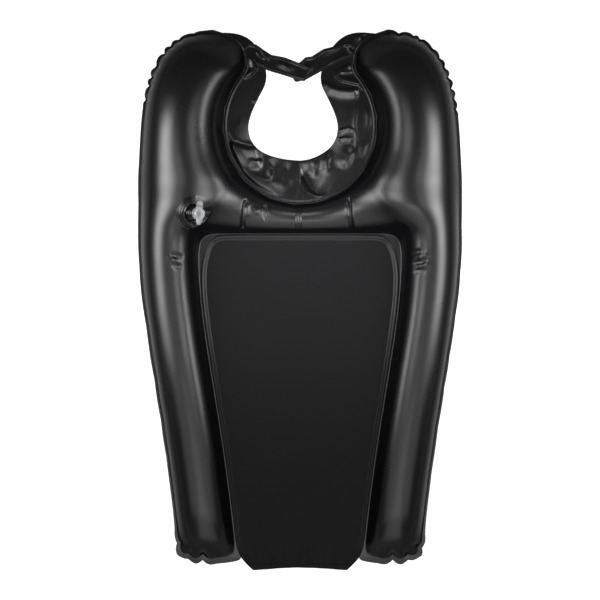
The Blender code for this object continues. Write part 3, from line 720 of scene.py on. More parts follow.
def buildFloor():
    # The sheet's edge follows the inner weld; its bottom edge hangs free over the drain
    given = floorSheet
    tip, cut = Vector((given["tip"], drainY)), given["tipCut"]
    edges = [tip, tip + Vector((cut, cut))]
    edges += [Vector((inner.x - basin["inset"], inner.y)) for _, inner, _ in sideStations()]
    edges.append(Vector((basin["topWidth"] / 2 - basin["cornerCut"], basinTopY - basin["inset"])))
    rows = []
    for number, edge in enumerate(edges):
        shares, lift = (given["endColumns"], basin["lipNotch"]) if number < 2 else (given["columns"], 0.0)
        shares = [-share for share in reversed(shares)] + [0, *shares]
        rows.append([(edge.x * share, edge.y + lift * (1 - abs(share)), filmLevel) for share in shares])
    dense = subdivided(gridMesh("floor", rows), given["levels"], "ALL")
    co = pointsOf(dense)
    form = bmesh.new()
    form.from_mesh(dense)
    edge = np.array([v.co.xy[:] for e in form.edges if e.is_boundary for v in e.verts])
    form.free()
    # distance to the outline, from the nearest of its points
    inward = np.full(len(co), 1e9)
    for part in np.array_split(edge, len(edge) // 200 + 1):
        gap = np.hypot(co[:, None, 0] - part[None, :, 0], co[:, None, 1] - part[None, :, 1])
        inward = np.minimum(inward, gap.min(1))
    x, y = co[:, 0].copy(), co[:, 1].copy()
    loose = ramp(inward, *given["loose"])
    welded, free = ramp(y, *given["welded"]), 1 - ramp(y, *given["free"])
    height = foldHeights(co[:, :2], given["folds"]) + (drift(co, given) - given["sag"]) * loose
    beads = sum(crest(inward, inset, given["beadWidth"]) for inset in given["beadInsets"])
    height += given["bead"] * beads * welded
    # folded hem and slight wave of the free edge
    height += free * sum(rise * np.sin(x * 2 * pi / length + phase)
                         for rise, length, phase in given["waves"])
    height += given["hemRise"] * ramp(y - drainY, given["hem"] + given["hemSoft"], given["hem"])
    co[:, 2] += height
    dense.vertices.foreach_set("co", co.ravel())
    rim = (1 - ramp(inward, given["rim"] - given["rimSoft"], given["rim"])) * welded
    rim *= lerp(*given["rimShares"], ramp(y, *given["rimChange"]))
    dense.attributes.new("weld", "FLOAT", "POINT").data.foreach_set("value", rim)
    piece = dress("floorSheet", dense, filmMaterial("floor film"), "shell", "matt_film", "floor_panel",
                  place=trayFrame, film=basin["film"])
    report("floor")


collar = {
    "cut": (0.21, 0.12), "film": 0.0004, "middleGap": 0.00015,
    "neckWidth": 0.1165, "neckShift": -0.0092, "neckDepth": 0.1120, "backReach": 0.1750,
    "sag": 0.0055, "band": 0.0185, "spanLimit": 0.5, "inset": 0.0015,
    "columns": ((0.0, 0.0), (0.5, 0.62), (1.0, 1.0)), "shiftGain": 1.6,
    # shares of the neck's half width, of its depth and of the sag, from the back round to the horn
    "neck": ((0.0, 0.0, 1.0), (0.25, 0.01, 1.0), (0.50, 0.045, 1.0), (0.76, 0.11, 0.95),
             (0.93, 0.20, 0.75), (1.02, 0.32, 0.45), (1.02, 0.46, 0.2), (0.90, 0.62, 0.1),
             (0.74, 0.79, 0.05), (0.60, 0.92, 0.0), (0.62, 1.10, 0.0)),
    "corner": {"Left": ((0.90, 1.40, 0.0), (1.32, 1.510, 0.0), (1.72, 1.510, 0.0)),
               "Right": ((0.86, 1.40, 0.0), (1.26, 1.532, 0.0), (1.80, 1.500, 0.0))},
    "levels": 5, "smallLevels": 4, "bead": 0.0007, "beadWidth": 0.0012, "beadInset": 0.0028,
    # distances from the weld over which the folds and the drift set in
    "folded": (0.003, 0.010), "loose": (0.006, 0.016), "drift": 0.0003, "driftSize": 0.07, "seed": 9,
}
collarBackY = topY - collar["backReach"]

# Folds of the collar, with a half width to each side
leftFolds = (
    # pocket of film at the root of the left strap
    (((-79, 327), (-70, 322), (-61.5, 315), (-58.5, 307), (-66, 298.5),
      (-80, 292.5)), 1.8, 7.5, 2.1, 0.15),
    (((-80, 300), (-70, 299), (-63, 303)), 6, 1.4, 1.3, 0.3),
    # flat panel that laps over the film below it
    (((-100, 223), (-88, 213), (-76, 208.5), (-56, 204.5)), 22, 1.2, 1.4, 0.2),
    (((-64, 265), (-60, 263.5), (-56, 267)), 2, 2, 0.8, 0.35),
    # soft folds below the panel, round to the back
    (((-99, 210), (-84, 201), (-68, 198.5), (-48, 201)), 6, 23, 5.2, 0.25),
    (((-70, 187), (-60, 183), (-48, 185)), 3, 7, 1.5, 0.35),
    (((-89, 180), (-76, 168), (-58, 160), (-36, 155), (-14, 153)),
     7, 14, 2.6, 0.35),
    (((-40, 190), (-34, 174), (-36, 154)), 10, 5, 1.6, 0.4),
    (((-18, 186), (-15, 170), (-16, 146)), 7, 5, 1.2, 0.4),
)
rightFolds = (
    # loop of film under the right strap
    (((74, 315), (62, 309.5), (50, 303), (48.7, 296.5), (56, 291.5),
      (69, 288.5), (82, 285)), 8, 1.8, 2, 0.15),
    (((51, 301.2), (64, 302.5), (78, 303)), 1.6, 4, 1.1, 0.3),
    # rolled fold across the collar
    (((29, 290), (41, 282), (53, 278.5), (66, 277.5), (79, 279)),
     2.4, 8.5, 2.5, 0.15),
    (((78, 285), (82.5, 281.5), (84, 277)), 1.6, 1.6, 1, 0.35),
    # front corner and the horn's tip
    (((77, 356), (78.5, 342), (79, 326)), 1.8, 5, 1.4, 0.3),
    (((83, 356), (89, 348), (96, 342)), 4, 1.6, 1, 0.35),
    # double fold in the middle of the side
    (((48, 221.5), (56, 226.2), (65, 228.5), (73.5, 224)), 1.4, 4.2, 1.2, 0.25),
    (((48, 213), (59, 215.5), (71, 215)), 1.4, 4.6, 1.2, 0.25),
    # crease where the side is welded on, and the soft dents outside it
    (((72.2, 272), (74.8, 250), (72.8, 233), (75.2, 215), (73.8, 196), (75.5, 180)),
     2, 3, 0.5, 0.45),
    (((88, 260), (91.5, 242), (89, 222)), 6, 4, 0.7, 0.45),
    (((88, 213), (83.5, 200), (80, 186)), 4, 7, 0.8, 0.45),
    # light panel beside the seam at the back, and soft waves further round
    (((3, 185), (5.3, 165), (14.6, 149), (36, 136)), 23, 5, -4, 0.3),
    (((70, 205), (64, 190), (56, 172)), 6, 10, 2.2, 0.4),
    (((42, 200), (36, 184), (35, 164)), 4, 6, 1.3, 0.4),
    (((23, 188), (19, 176), (20, 160)), 3.5, 5, 1, 0.4),
)


def collarLine(cage, highRow, last):
    inner = ringSteps + 1
    centre = max(column for _, column in cage)
    keys = [(highRow, column) for column in range(centre, inner - 1, -1)]
    keys += [(row, inner) for row in range(highRow + 1, last + 1)]
    keys += [(last, column) for column in range(inner - 1, 1, -1)]
    line = []
    for number, key in enumerate(keys):
        here = cage[key]
        before = cage[keys[number - 1]] if number else cage[keys[1]] * mirror
        after = cage[keys[number + 1]] if number + 1 < len(keys) else cage[last, 1]
        way = (rightOf(after, here) + rightOf(here, before)).normalized()
        line.append(here + way * collar["inset"])
    return line


def buildCollar(weld):
    given = collar
    cage, _, highRow, last = chamberCage()
    line = collarLine(cage, highRow, last)
    levels = given["levels"]
    made = []
    for half, across, folds in (("Left", -1, leftFolds), ("Right", 1, rightFolds)):
        rows = []
        for outer, (wide, deep, sag) in zip(line, given["neck"] + given["corner"][half]):
            slide = given["neckShift"] * across * min(1.0, wide * given["shiftGain"])
            slide *= 1 - max(0.0, deep - 1.0)
            neck = Vector((given["neckWidth"] / 2 * wide + slide, collarBackY + given["neckDepth"] * deep))
            flatSpan = min(given["band"] / (neck - outer.xy).length, given["spanLimit"])
            row = [(outer.x, outer.y, filmLevel)]
            for span, drop in given["columns"]:
                spot = lerp(outer.xy, neck, lerp(flatSpan, 1.0, span))
                row.append((spot.x, spot.y, filmLevel - given["sag"] * sag * drop))
            rows.append([(max(x, given["middleGap"]) * across, y, z) for x, y, z in row])
        dense = subdivided(gridMesh("collar", rows, across > 0), levels)
        co = pointsOf(dense)
        distance = nearestOn(co[:, :2], weld[::4], True)[0]
        height = foldHeights(co[:, :2], folds) * ramp(distance, *given["folded"])
        height += drift(co, given, across) * ramp(distance, *given["loose"])
        co[:, 2] += height + given["bead"] * crest(distance, given["beadInset"], given["beadWidth"])
        dense.vertices.foreach_set("co", co.ravel())
        piece = dress(f"collar{half}", dense, filmMaterial("collar film"), "shell", "black_film",
                      f"collar_{half.lower()}", place=trayFrame, film=given["film"])
        made.append(piece)
    report("collar")
    return made


strap = {
    "width": 0.0255, "length": 0.0785, "rootOffset": 0.0620, "rootReach": 0.0325, "slope": 21.0,
    # places along each strap and the reach of its upper and lower edge there, in millimetres
    "leftEdges": ((-12.7, 3.5, 3.5), (-8, 10.5, 11), (0, 11.8, 14.2), (12, 8.6, 14.6), (23.6, 6.2, 14.8),
                  (33, 8, 14.6), (42, 9.4, 13.8), (63, 9.2, 12.6), (78.5, 8.6, 11.2)),
    "rightEdges": ((-12.7, 4, 3), (-8, 9.6, 7), (0, 12.8, 7.4), (11.7, 14, 7.8), (27, 15.8, 8.6),
                   (37.5, 13.8, 10), (45, 12.2, 11.4), (53.4, 14.2, 12.6), (62.4, 10.6, 13.8),
                   (78.5, 9.2, 12)),
    # shares of the length over which it climbs, and the pads' pile between the two
    "climb": (0.25, 0.65), "pile": 0.001, "lift": 0.0001,
    "film": 0.0008, "corner": 0.004, "along": 120, "across": 40,
    "hem": 0.0005, "hemInsets": (0.0034, 0.0012), "hemWidth": 0.0008,
    "drift": 0.0002, "driftSize": 0.05, "seed": 40,
    "leftFolds": ((((2, 4), (10, -0.5), (19, -2.5)), 1.4, 1.0, 0.3),
                  (((8, 6), (16, 2), (26, -0.5)), 1.8, 0.8, 0.3),
                  (((-6, -6), (10, -9), (30, -9.5)), 2.2, 0.7, 0.4),
                  (((30, -2), (44, 0), (62, -3)), 5, 1.2, 0.4)),
    "rightFolds": ((((-4, 3), (10, 2.8), (30, 4.4)), 1.3, 1.0, 0.3),
                   (((-6, -15), (-4, -4), (-6, 5)), 1.6, 1.2, 0.3),
                   (((0, -10), (18, -11), (36, -8)), 4, 0.9, 0.4),
                   (((44, 0), (56, 1), (70, -1)), 5, 1.0, 0.4)),
}


def buildStraps():
    given = strap
    half, length = given["width"] / 2, given["length"]
    low = filmLevel + collar["film"] + tray["gap"]
    high = low + given["film"] + (tray["gap"] + given["pile"]) * 2 + tray["gap"]
    for side, across, top in (("left", -1, high), ("right", 1, low)):
        turn = -radians(given["slope"]) if across < 0 else pi + radians(given["slope"])
        place = trayFrame @ Matrix.Translation((across * given["rootOffset"], topY - given["rootReach"], 0))
        place = place @ Matrix.Rotation(turn, 4, "Z")
        spots, above, below = np.array(given[f"{side}Edges"]).T / 1000
        rows = []
        for n in range(given["along"] + 1):
            along = lerp(-half, length, n / given["along"])
            tip = min(max((along - length + given["corner"]) / given["corner"], 0.0), 1.0)
            cut = given["corner"] * (1 - cos(asin(tip)))
            reach = np.interp(along, spots, above) - cut, np.interp(along, spots, below) - cut
            edges = (-reach[1], reach[0]) if across < 0 else (-reach[0], reach[1])
            level = lerp(low, top, float(ramp(along / length, *given["climb"])))
            rows.append([(along, lerp(*edges, c / given["across"]), level)
                         for c in range(given["across"] + 1)])
        mesh = gridMesh("strap", rows)
        co = pointsOf(mesh)
        y = co[:, 1].reshape(given["along"] + 1, -1)
        edge = np.minimum((y - y[:, :1]).ravel(), (y[:, -1:] - y).ravel())
        edge = np.minimum(edge, length - co[:, 0])
        height = foldHeights(co[:, :2], given[f"{side}Folds"]) + drift(co, given, across)
        height += given["hem"] * sum(crest(edge, inset, given["hemWidth"]) for inset in given["hemInsets"])
        co[:, 2] += np.maximum(height, 0) if across > 0 else height + given["lift"]
        mesh.vertices.foreach_set("co", co.ravel())
        piece = dress(f"{side}Strap", mesh, filmMaterial("collar film"), f"{side}_tab", "black_film",
                      f"{side}_tab", place=place, film=given["film"])
        length + half
    report("straps")


def onto(tree, spot, way, lift):
    # The point where a ray meets a surface, lifted off it
    hit, normal, _, _ = tree.ray_cast(spot, way)
    return hit + (-normal if normal.dot(way) > 0 else normal) * lift


def treeOf(pieces):
    verts, faces = [], []
    for piece in pieces:
        base = len(verts)
        verts += [vert.co.copy() for vert in piece.data.vertices]
        faces += [[base + corner for corner in face.vertices] for face in piece.data.polygons]
    return BVHTree.FromPolygons(verts, faces)


tape = {
    "left": -0.0060, "right": 0.0022, "across": 40, "along": 150, "film": 0.00035, "lift": 0.0002,
    "ridges": (-0.0050, -0.0020, 0.0012), "ridge": 0.0004, "ridgeWidth": 0.0006,
    # room left before the weld, height above the tray where the strip is laid down from
    "short": 0.0012, "above": 0.08,
    # the strip on the collar laps over both of the sheet's ends
    "collarHalf": 0.0040, "collarAlong": 70, "collarLaps": (0.0006, 0.0022), "seam": 0.0006,
}


def buildTapes(tube, collars):
    # Strips that follow the film under them
    tubeTree, collarTree = treeOf([tube]), treeOf(collars)
    up, back = trayFrame.to_3x3() @ Vector((0, 0, 1)), trayFrame.inverted()
    steps = [c / tape["across"] for c in range(tape["across"] + 1)]
    for half, way in (("Upper", 1), ("Lower", -1)):
        rows = []
        for n in range(tape["along"] + 1):
            # closer together where the tube turns down to the weld
            share = (1 - cos(pi * n / tape["along"])) / 2
            y = lerp(basinTopY + tape["short"], notchBackY - tape["short"], share)
            row = []
            for x in (lerp(tape["left"], tape["right"], step) for step in steps):
                ridges = sum(crest(x, ridge, tape["ridgeWidth"]) for ridge in tape["ridges"])
                start = trayFrame @ Vector((x, y, tape["above"] * way))
                row.append(onto(tubeTree, start, -up * way, float(tape["lift"] + tape["ridge"] * ridges)))
            rows.append(row)
        dress(f"bridgeTape{half}", gridMesh("tape", rows, way < 0), filmMaterial("tube film"), "shell",
              "black_film", f"bridge_seam_tape_{half.lower()}", film=tape["film"])
    rows = []
    start, end = collarBackY - tape["collarLaps"][0], notchBackY + tape["collarLaps"][1]
    for n in range(tape["collarAlong"] + 1):
        y = lerp(start, end, n / tape["collarAlong"])
        row = []
        for x in (lerp(-1, 1, step) * tape["collarHalf"] for step in steps):
            reach = x if abs(x) > tape["seam"] else tape["seam"]
            spot = onto(collarTree, trayFrame @ Vector((reach, y, tape["above"])), -up, 0)
            spot = back @ (spot + up * (collar["film"] + tape["lift"]))
            row.append(trayFrame @ Vector((x, spot.y, spot.z)))
        rows.append(row)
    dress("collarTape", gridMesh("tape", rows, True), filmMaterial("collar film"), "shell", "black_film",
          "collar_seam_tape", film=tape["film"])
    report("tapes")


valve = {
    "centre": (-0.14003, 0.114976, 0.089656), "tilt": 4.0, "lean": 25.0, "turns": 96, "above": 0.05,
    "pocketRadius": 0.0120, "pocketDepth": 0.036, "pocketReach": 0.02,
    # flange, with its rings as shares of the way out
    "discInner": 0.0120, "discOuter": 0.0232, "discFilm": 0.001, "discLeast": 0.0004, "discRings": 40,
    "rings": (0.12, 0.42, 0.68), "ringRise": 0.0012, "ringWidth": 0.06, "rimDrop": 0.0004, "rimFrom": 0.8,
    "discKeep": 0.90,
    "bootRadius": 0.0117, "bootHeight": 0.0160, "bootWall": 0.0009, "bootDepth": 0.003,
    "bootRings": 4, "bootSteps": 12, "ringDepth": 0.0013, "bootKeep": 0.25,
    "stemRadius": 0.0062, "boreRadius": 0.0042, "stemTop": 0.0200, "stemDepth": 0.0100, "push": 0.012,
    "lip": 0.0010, "lipHeight": 0.0016, "seatDepth": 0.005,
    "plugRadius": 0.0073, "plugHead": 0.0022, "plugBoss": 0.0070, "clearance": 0.0002,
    "dimple": 0.0042, "dimpleDepth": 0.0009, "curve": 0.0005,
    # tongues, with the thumb ridges near their ends
    "tongueWidth": 0.0085, "upperTongue": 0.0170, "lowerTongue": 0.0125, "tongueThick": 0.0014,
    "tongueGrid": (28, 12), "tongueRoot": 0.8,
    "thumbRidge": 0.00018, "thumbSpacing": 0.0014, "thumbShare": 0.45,
    "tetherWidth": 0.0045, "tetherRing": 0.0022, "tetherRoot": 0.6, "tetherSteps": 16,
    "flapThick": 0.0007, "flapOver": 0.0012,
}


def valveFrame():
    turn = Matrix.Rotation(radians(valve["lean"]), 4, "Y") @ Matrix.Rotation(radians(valve["tilt"]), 4, "X")
    return Matrix.Translation(valve["centre"]) @ Matrix.Rotation(tilt, 4, "X") @ turn


def sinkPocket(mesh, place):
    # A round pocket in the tube for the valve to slide into
    form = bmesh.new()
    form.from_mesh(mesh)
    back, radius = place.inverted(), valve["pocketRadius"]
    inside = set()
    for vert in form.verts:
        spot = back @ vert.co
        if spot.xy.length < radius and abs(spot.z) < valve["pocketReach"]:
            inside.add(vert)
    bmesh.ops.delete(form, geom=[f for f in form.faces if any(v in inside for v in f.verts)],
                     context="FACES_KEEP_BOUNDARY")
    bmesh.ops.delete(form, geom=[v for v in form.verts if not v.link_faces], context="VERTS")
    edges = [e for e in form.edges if e.is_boundary]
    for vert in {v for e in edges for v in e.verts}:
        spot = back @ vert.co
        spot.xy = spot.xy.normalized() * radius
        vert.co = place @ spot
    down = place.to_3x3() @ Vector((0, 0, -valve["pocketDepth"]))
    for vert in bmesh.ops.extrude_edge_only(form, edges=edges)["geom"]:
        if isinstance(vert, bmesh.types.BMVert):
            vert.co += down
    bmesh.ops.holes_fill(form, edges=[e for e in form.edges if e.is_boundary])
    bmesh.ops.recalc_face_normals(form, faces=form.faces)
    form.to_mesh(mesh)
    form.free()


def rounded(profile, size, steps=4):
    # The profile with each corner rounded off
    line = []
    for number, here in enumerate(profile):
        here = Vector(here)
        before = Vector(profile[number - 1]) if number else None
        after = Vector(profile[number + 1]) if number + 1 < len(profile) else None
        if before is None or after is None:
            line.append(here)
            continue
        cut = min(size, (before - here).length * 0.45, (after - here).length * 0.45)
        start, end = here + (before - here).normalized() * cut, here + (after - here).normalized() * cut
        for step in range(steps + 1):
            share = step / steps
            line.append(lerp(lerp(start, here, share), lerp(here, end, share), share))
    return line


def meshOf(form, name):
    bmesh.ops.recalc_face_normals(form, faces=form.faces)
    mesh = bpy.data.meshes.new(name)
    form.to_mesh(mesh)
    form.free()
    return mesh


def slab(name, top, low, around=False):
    # A closed plate between two grids of points; around joins the end of each row to its start
    form = bmesh.new()
    top, low = [[[form.verts.new(spot) for spot in row] for row in grid] for grid in (top, low)]
    wide, long = len(top[0]), len(top)
    for a in range(wide if around else wide - 1):
        b = (a + 1) % wide
        for r in range(long - 1):
            for grid in (top, low):
                form.faces.new((grid[r][a], grid[r][b], grid[r + 1][b], grid[r + 1][a]))
        for r in (0, -1):
            form.faces.new((top[r][a], top[r][b], low[r][b], low[r][a]))
    for c in () if around else (0, -1):
        for r in range(long - 1):
            form.faces.new((top[r][c], top[r + 1][c], low[r + 1][c], low[r][c]))
    return meshOf(form, name)


def turned(profile, closed=True):
    # A body of revolution about z; an open profile starts and ends on the axis
    turns, count = valve["turns"], len(profile)
    form = bmesh.new()
    rings = []
    for step in range(turns):
        angle = 2 * pi * step / turns
        rings.append([form.verts.new((r * cos(angle), r * sin(angle), z)) for r, z in profile])
    for one, two in zip(rings, rings[1:] + rings[:1]):
        for n in range(count if closed else count - 1):
            m = (n + 1) % count
            form.faces.new((one[n], two[n], two[m], one[m]))
    bmesh.ops.remove_doubles(form, verts=form.verts, dist=0.000005)
    return meshOf(form, "turned")


mouldedLooks = {
    # dark and light ends of the colour, roughness from and to, sizes of the clouds and of the flow
    # marks, the marks' depth, and for a clear one how dense its edges, clouds and the rest are
    "valve rubber": {
        "dark": (0.0025, 0.0025, 0.0028), "light": (0.0055, 0.0055, 0.0060), "rough": (0.13, 0.21),
        "clouds": 180.0, "marks": 1600.0, "depth": 0.00003, "bend": 1.5},
    "clear vinyl": {
        "dark": (0.52, 0.55, 0.58), "light": (0.80, 0.82, 0.84), "rough": (0.10, 0.18),
        "clouds": 220.0, "marks": 900.0, "depth": 0.00002, "bend": 1.46, "dense": (0.55, 0.14, 0.09)},
}


def mouldedMaterial(look):
    given = mouldedLooks[look]
    material, wire = newMaterial(look)
    place = wire.node("ShaderNodeTexCoord", out=3)
    cloud = noise(wire, place, given["clouds"])
    low, high = given["rough"]
    varied = {"Base Color": cloud.mix(given["dark"], given["light"]), "Roughness": cloud * (high - low) + low,
              "Normal": bump(wire, noise(wire, place, given["marks"], 2.0), given["depth"])}
    if "dense" in given:
        edges, clouds, rest = given["dense"]
        edge = wire.node("ShaderNodeLayerWeight", {}, {"Blend": 0.35}, 1)
        varied["Alpha"] = edge * edges + cloud * clouds + rest
    surface(wire, {"IOR": given["bend"]}, varied)
    return material


def seatDisc(tree, place):
    # The flange lies on the tube; its soft rings give way to the plug when the stem is pushed in
    given = valve
    back, down = place.inverted(), (place.to_3x3() @ Vector((0, 0, -1))).normalized()
    highest = given["stemTop"] - given["push"] - given["clearance"]
    top, low = [], []
    for ring in range(given["discRings"] + 1):
        share = ring / given["discRings"]
        radius = lerp(given["discInner"], given["discOuter"], share)
        rings = sum(crest(share, middle, given["ringWidth"]) for middle in given["rings"])
        thick = given["ringRise"] * rings
        thick += given["discFilm"] - given["rimDrop"] * float(ramp(share, given["rimFrom"], 1.0))
        above, under = [], []
        for step in range(given["turns"]):
            angle = 2 * pi * step / given["turns"]
            spot = place @ Vector((radius * cos(angle), radius * sin(angle), given["above"]))
            seat = back @ tree.ray_cast(spot, down)[0] + Vector((0, 0, tray["gap"]))
            under.append(seat)
            above.append((seat.x, seat.y, min(seat.z + thick, max(highest, seat.z + given["discLeast"]))))
        top.append(above)
        low.append(under)
    return slab("disc", top, low, around=True)


def bootProfile():
    # Bellows rolled in soft rubber, each ring a rounded crest
    given = valve
    neck = given["stemRadius"] + tray["gap"] + given["bootWall"]
    widest, swell = given["bootRadius"], given["ringDepth"] / 2
    steps = given["bootRings"] * given["bootSteps"]
    outer = []
    for n in range(steps + 1):
        share = n / steps
        wave = 0.5 - 0.5 * cos(2 * pi * share * given["bootRings"])
        radius = lerp(neck, widest - swell, share) + wave * swell
        outer.append((min(radius, widest), lerp(given["bootHeight"], given["discFilm"], share)))
    outer += [(widest, 0.0), (widest, -given["bootDepth"])]
    return outer + [(radius - given["bootWall"], height) for radius, height in reversed(outer)]


def tonguePlate(near, far, level):
    # A flat tongue with a rounded end, thumb ridges across it
    given = valve
    steps, wide = given["tongueGrid"]
    half = given["tongueWidth"] / 2
    top, low = [], []
    for n in range(steps + 1):
        y = lerp(near, far, n / steps)
        room = abs(far - y)
        reach = max(half ** 2 - max(half - room, 0.0) ** 2, 0.0) ** 0.5
        across = [lerp(-1, 1, c / wide) * max(reach, half / 5) for c in range(wide + 1)]
        ridge = 0.0
        if room < abs(far - near) * given["thumbShare"]:
            turn = (abs(y) - given["lowerTongue"]) * 2 * pi / given["thumbSpacing"]
            ridge = given["thumbRidge"] * max(0.0, cos(turn))
        top.append([(x, y, level + given["tongueThick"] + ridge) for x in across])
        low.append([(x, y, level) for x in across])
    return slab("tongue", top, low)


def joined(meshes):
    form = bmesh.new()
    for mesh in meshes:
        form.from_mesh(mesh)
        bpy.data.meshes.remove(mesh)
    mesh = bpy.data.meshes.new("joined")
    form.to_mesh(mesh)
    form.free()
    return mesh


def tetherMesh():
    # Ring round the stem and the strap that folds up to the plug's lower tongue
    given = valve
    low = given["bootHeight"] + tray["gap"]
    high = given["stemTop"] - given["lipHeight"] - given["lip"] - tray["gap"]
    inner, corner, half = given["stemRadius"] + tray["gap"], given["curve"], given["tetherWidth"] / 2
    outer = inner + given["tetherRing"]
    ring = turned([(inner, high - corner / 2), (inner + corner / 2, high), (outer - corner, high),
                   (outer, high - corner), (outer, low + corner), (outer - corner, low),
                   (inner + corner / 2, low), (inner, low + corner / 2)])
    middle, top = (low + high) / 2, given["stemTop"] - given["tongueThick"] / 2
    bend, radius = (middle + top) / 2, (top - middle) / 2
    line = [(-(inner + given["tetherRing"] * given["tetherRoot"]), middle)]
    for n in range(given["tetherSteps"] + 1):
        angle = pi * (n / given["tetherSteps"] - 0.5)
        line.append((-(given["lowerTongue"] + radius * cos(angle)), bend + radius * sin(angle)))
    line.append((given["tetherWidth"] - given["lowerTongue"], top))
    over, under = [], []
    for number, (y, z) in enumerate(line):
        way = Vector(line[min(number + 1, len(line) - 1)]) - Vector(line[max(number - 1, 0)])
        normal = Vector((-way.y, way.x)).normalized() * given["tongueThick"] / 2
        under.append([(x, y, z) for x in (-half, half)])
        over.append([(x, y + normal.x, z + normal.y) for x in (-half, half)])
    return joined([ring, slab("belt", over, under)])


def buildValve(tubeTree, place):
    given = valve
    rubber, clear = mouldedMaterial("valve rubber"), mouldedMaterial("clear vinyl")
    bore, stem, top, curve = given["boreRadius"], given["stemRadius"], given["stemTop"], given["curve"]

    def part(name, mesh, body, replaced, material=clear, slot="clear_plastic", sharp=40):
        return dress(name, mesh, material, body, slot, replaced, place=place, sharp=sharp)

    soft = rubber, "soft_black", 60
    flange = part("valveFlange", seatDisc(tubeTree, place), "shell", "valve_flange", *soft)
    boot = part("valveBoot", turned(bootProfile()), "shell", "valve_boot", *soft)
    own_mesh(boot)
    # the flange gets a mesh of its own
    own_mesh(flange)
    rim, neck, bottom = stem + given["lip"], top - given["lipHeight"], -given["stemDepth"]
    tube = rounded([(bore, given["seatDepth"]), (bore, top), (rim, top), (rim, neck),
                    (stem, neck - given["lip"]), (stem, bottom), (bore, bottom), (bore, 0.0)], curve * 0.8)
    part("valveStem", turned(tube), "valve_stem", "valve_stem")
    boss, under = bore - given["clearance"], top + tray["gap"]
    head, dimple, pit = under + given["plugHead"], given["dimple"], given["dimpleDepth"]
    widest, end = given["plugRadius"], under - given["plugBoss"]
    plug = rounded([(0, head - pit), (dimple, head - pit), (dimple + pit / 2, head), (widest, head),
                    (widest, under), (boss, under), (boss, end), (0, end)], curve)
    root = widest * given["tongueRoot"]
    tongues = [tonguePlate(root, given["upperTongue"], under),
               tonguePlate(-root, -given["lowerTongue"], under)]
    part("valvePlug", joined([turned(plug, False)] + tongues), "valve_plug", "valve_plug")
    part("plugTether", tetherMesh(), "valve_stem", "plug_tether")
    edge, high = bore + given["flapOver"], bottom - tray["gap"]
    low = high - given["flapThick"]
    flap = rounded([(0, high), (edge, high), (edge, low), (0, low)], curve / 2)
    part("checkFlap", turned(flap, False), "check_flap", "check_flap")
    report("valve")


def pileMaterial():
    # Hook and loop: tufts over a woven ground
    material, wire = newMaterial("hook and loop")
    place = wire.node("ShaderNodeTexCoord", out=3)
    tufts = wire.node("ShaderNodeTexVoronoi", {"voronoi_dimensions": "3D"},
                      {"Vector": place, "Scale": 1500.0})
    cloud = noise(wire, place, 300.0, 3.0)
    colour = (tufts * 0.7 + cloud * 0.3).mix((0.004, 0.004, 0.004), (0.03, 0.03, 0.032))
    surface(wire, {"IOR": 1.45, "Specular IOR Level": 0.2},
            {"Base Color": colour, "Roughness": cloud * 0.1 + 0.85, "Normal": bump(wire, tufts, 0.0003)})
    return material


def dressPads():
    pile = pileMaterial()
    for name in ("hook_pad", "loop_pad"):
        nodes[name].data.materials.clear()
        nodes[name].data.materials.append(pile)


studio = {
    "cameraHeight": 4.0, "view": 0.797, "sensor": 36, "sky": 0.12,
    "glow": 0.95, "floor": 0.58, "floorSize": 14, "floorDrop": 0.0003,
    # place, point it faces, size across and along y, radiance on its axis, half angle of its grid in
    # degrees; a box that stands to the left has a twin to the right
    "boxes": (((-0.434, 0.085, 0.329), (-0.178, 0.085, 0.09), (0.32, 0.39), 17.0, 25),
              ((-0.220, 0.070, 0.750), (0.13, 0.070, 0.09), (0.30, 0.30), 11.0, 20),
              ((0.0, -0.02, 0.620), (0.0, 0.28, 0.04), (0.30, 0.20), 8.0, 18),
              ((0.0, -0.36, 0.950), (0.0, -0.38, 0.05), (0.46, 0.44), 2.2, 50),
              ((-0.43, -0.34, 0.70), (-0.13, -0.33, 0.05), (0.52, 0.44), 1.2, 50),
              ((0.0, -0.80, 0.62), (0.0, -0.34, 0.04), (0.80, 0.90), 1.15, 60),
              ((0.0, 0.36, 0.475), (0.0, 0.11, 0.09), (0.24, 0.16), 11.0, 13)),
}


def softBox(name, place, aim, size, radiance, grid):
    lamp = bpy.data.lights.new(name, "AREA")
    lamp.shape = "RECTANGLE"
    lamp.size, lamp.size_y = size
    lamp.spread = radians(grid * 2)
    # the grid narrows the beam, and its radiance on the axis stays
    gain = tan(radians(grid)) / (tan(radians(grid)) - radians(grid))
    lamp.energy = radiance / gain * pi * size[0] * size[1]
    box = bpy.data.objects.new(name, lamp)
    way = (aim - place).normalized()
    sideways = Vector((0, 1, 0)).cross(-way) if abs(aim.x - place.x) > 0.01 else Vector((1, 0, 0))
    sideways.normalize()
    facing = Matrix((sideways, (-way).cross(sideways), -way)).transposed()
    box.matrix_world = Matrix.Translation(place) @ facing.to_4x4()
    box.visible_camera = False
    bpy.context.scene.collection.objects.link(box)


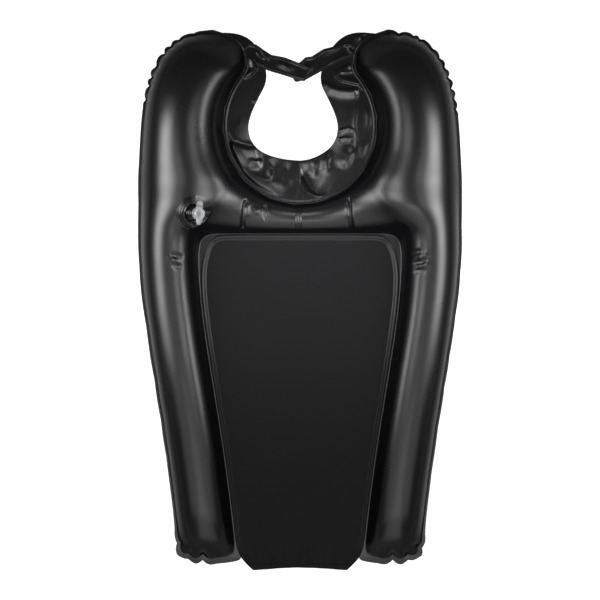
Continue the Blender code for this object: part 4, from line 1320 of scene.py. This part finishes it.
def buildStudio():
    scene = bpy.context.scene
    scene.view_settings.view_transform = "Standard"
    lens = bpy.data.cameras.new("camera")
    lens.sensor_width = studio["sensor"]
    lens.lens = studio["sensor"] * studio["cameraHeight"] / studio["view"]
    camera = bpy.data.objects.new("camera", lens)
    camera.location = (0, tray["shift"], studio["cameraHeight"] + tray["height"])
    scene.collection.objects.link(camera)
    scene.camera = camera
    number = 0
    for place, aim, *rest in studio["boxes"]:
        for side in (1, -1) if place[0] else (1,):
            turn = Vector((side, 1, 1))
            softBox(f"softBox{number}", Vector(place) * turn, Vector(aim) * turn, *rest)
            number += 1
    world = bpy.data.worlds.new("studio")
    scene.world = world
    world.use_nodes = True
    world.node_tree.nodes.clear()
    wire = Wire(world.node_tree)
    sky = wire.node("ShaderNodeBackground", {}, {"Color": (1, 1, 1, 1), "Strength": studio["sky"]})
    wire.node("ShaderNodeOutputWorld", {}, {"Surface": sky})
    bpy.ops.mesh.primitive_plane_add(size=studio["floorSize"], location=(0, 0, -studio["floorDrop"]))
    floor = bpy.context.object
    floor.name = "studioFloor"
    material, wire = newMaterial("pale floor")
    path = wire.node("ShaderNodeLightPath")
    seen = wire.maths("MAXIMUM", path, Wire(wire.tree, path.socket.node.outputs["Is Glossy Ray"]))
    seen = wire.maths("MAXIMUM", seen, Wire(wire.tree, path.socket.node.outputs["Is Transmission Ray"]))
    paint = wire.node("ShaderNodeBsdfDiffuse", {}, {"Color": (*(studio["floor"],) * 3, 1)})
    glow = wire.node("ShaderNodeEmission", {}, {"Color": (*(studio["glow"],) * 3, 1), "Strength": seen})
    both = wire.node("ShaderNodeAddShader", {}, {0: paint, 1: glow})
    wire.node("ShaderNodeOutputMaterial", {}, {"Surface": both})
    floor.data.materials.append(material)
    report("studio")


buildStudio()
valvePlace = valveFrame()
weldLoop = smoothLoop(tubeMesh()[1])
tube = buildTube(valvePlace)
buildFloor()
collars = buildCollar(weldLoop)
buildStraps()
buildTapes(tube, collars)
buildValve(treeOf([tube]), valvePlace)
dressPads()
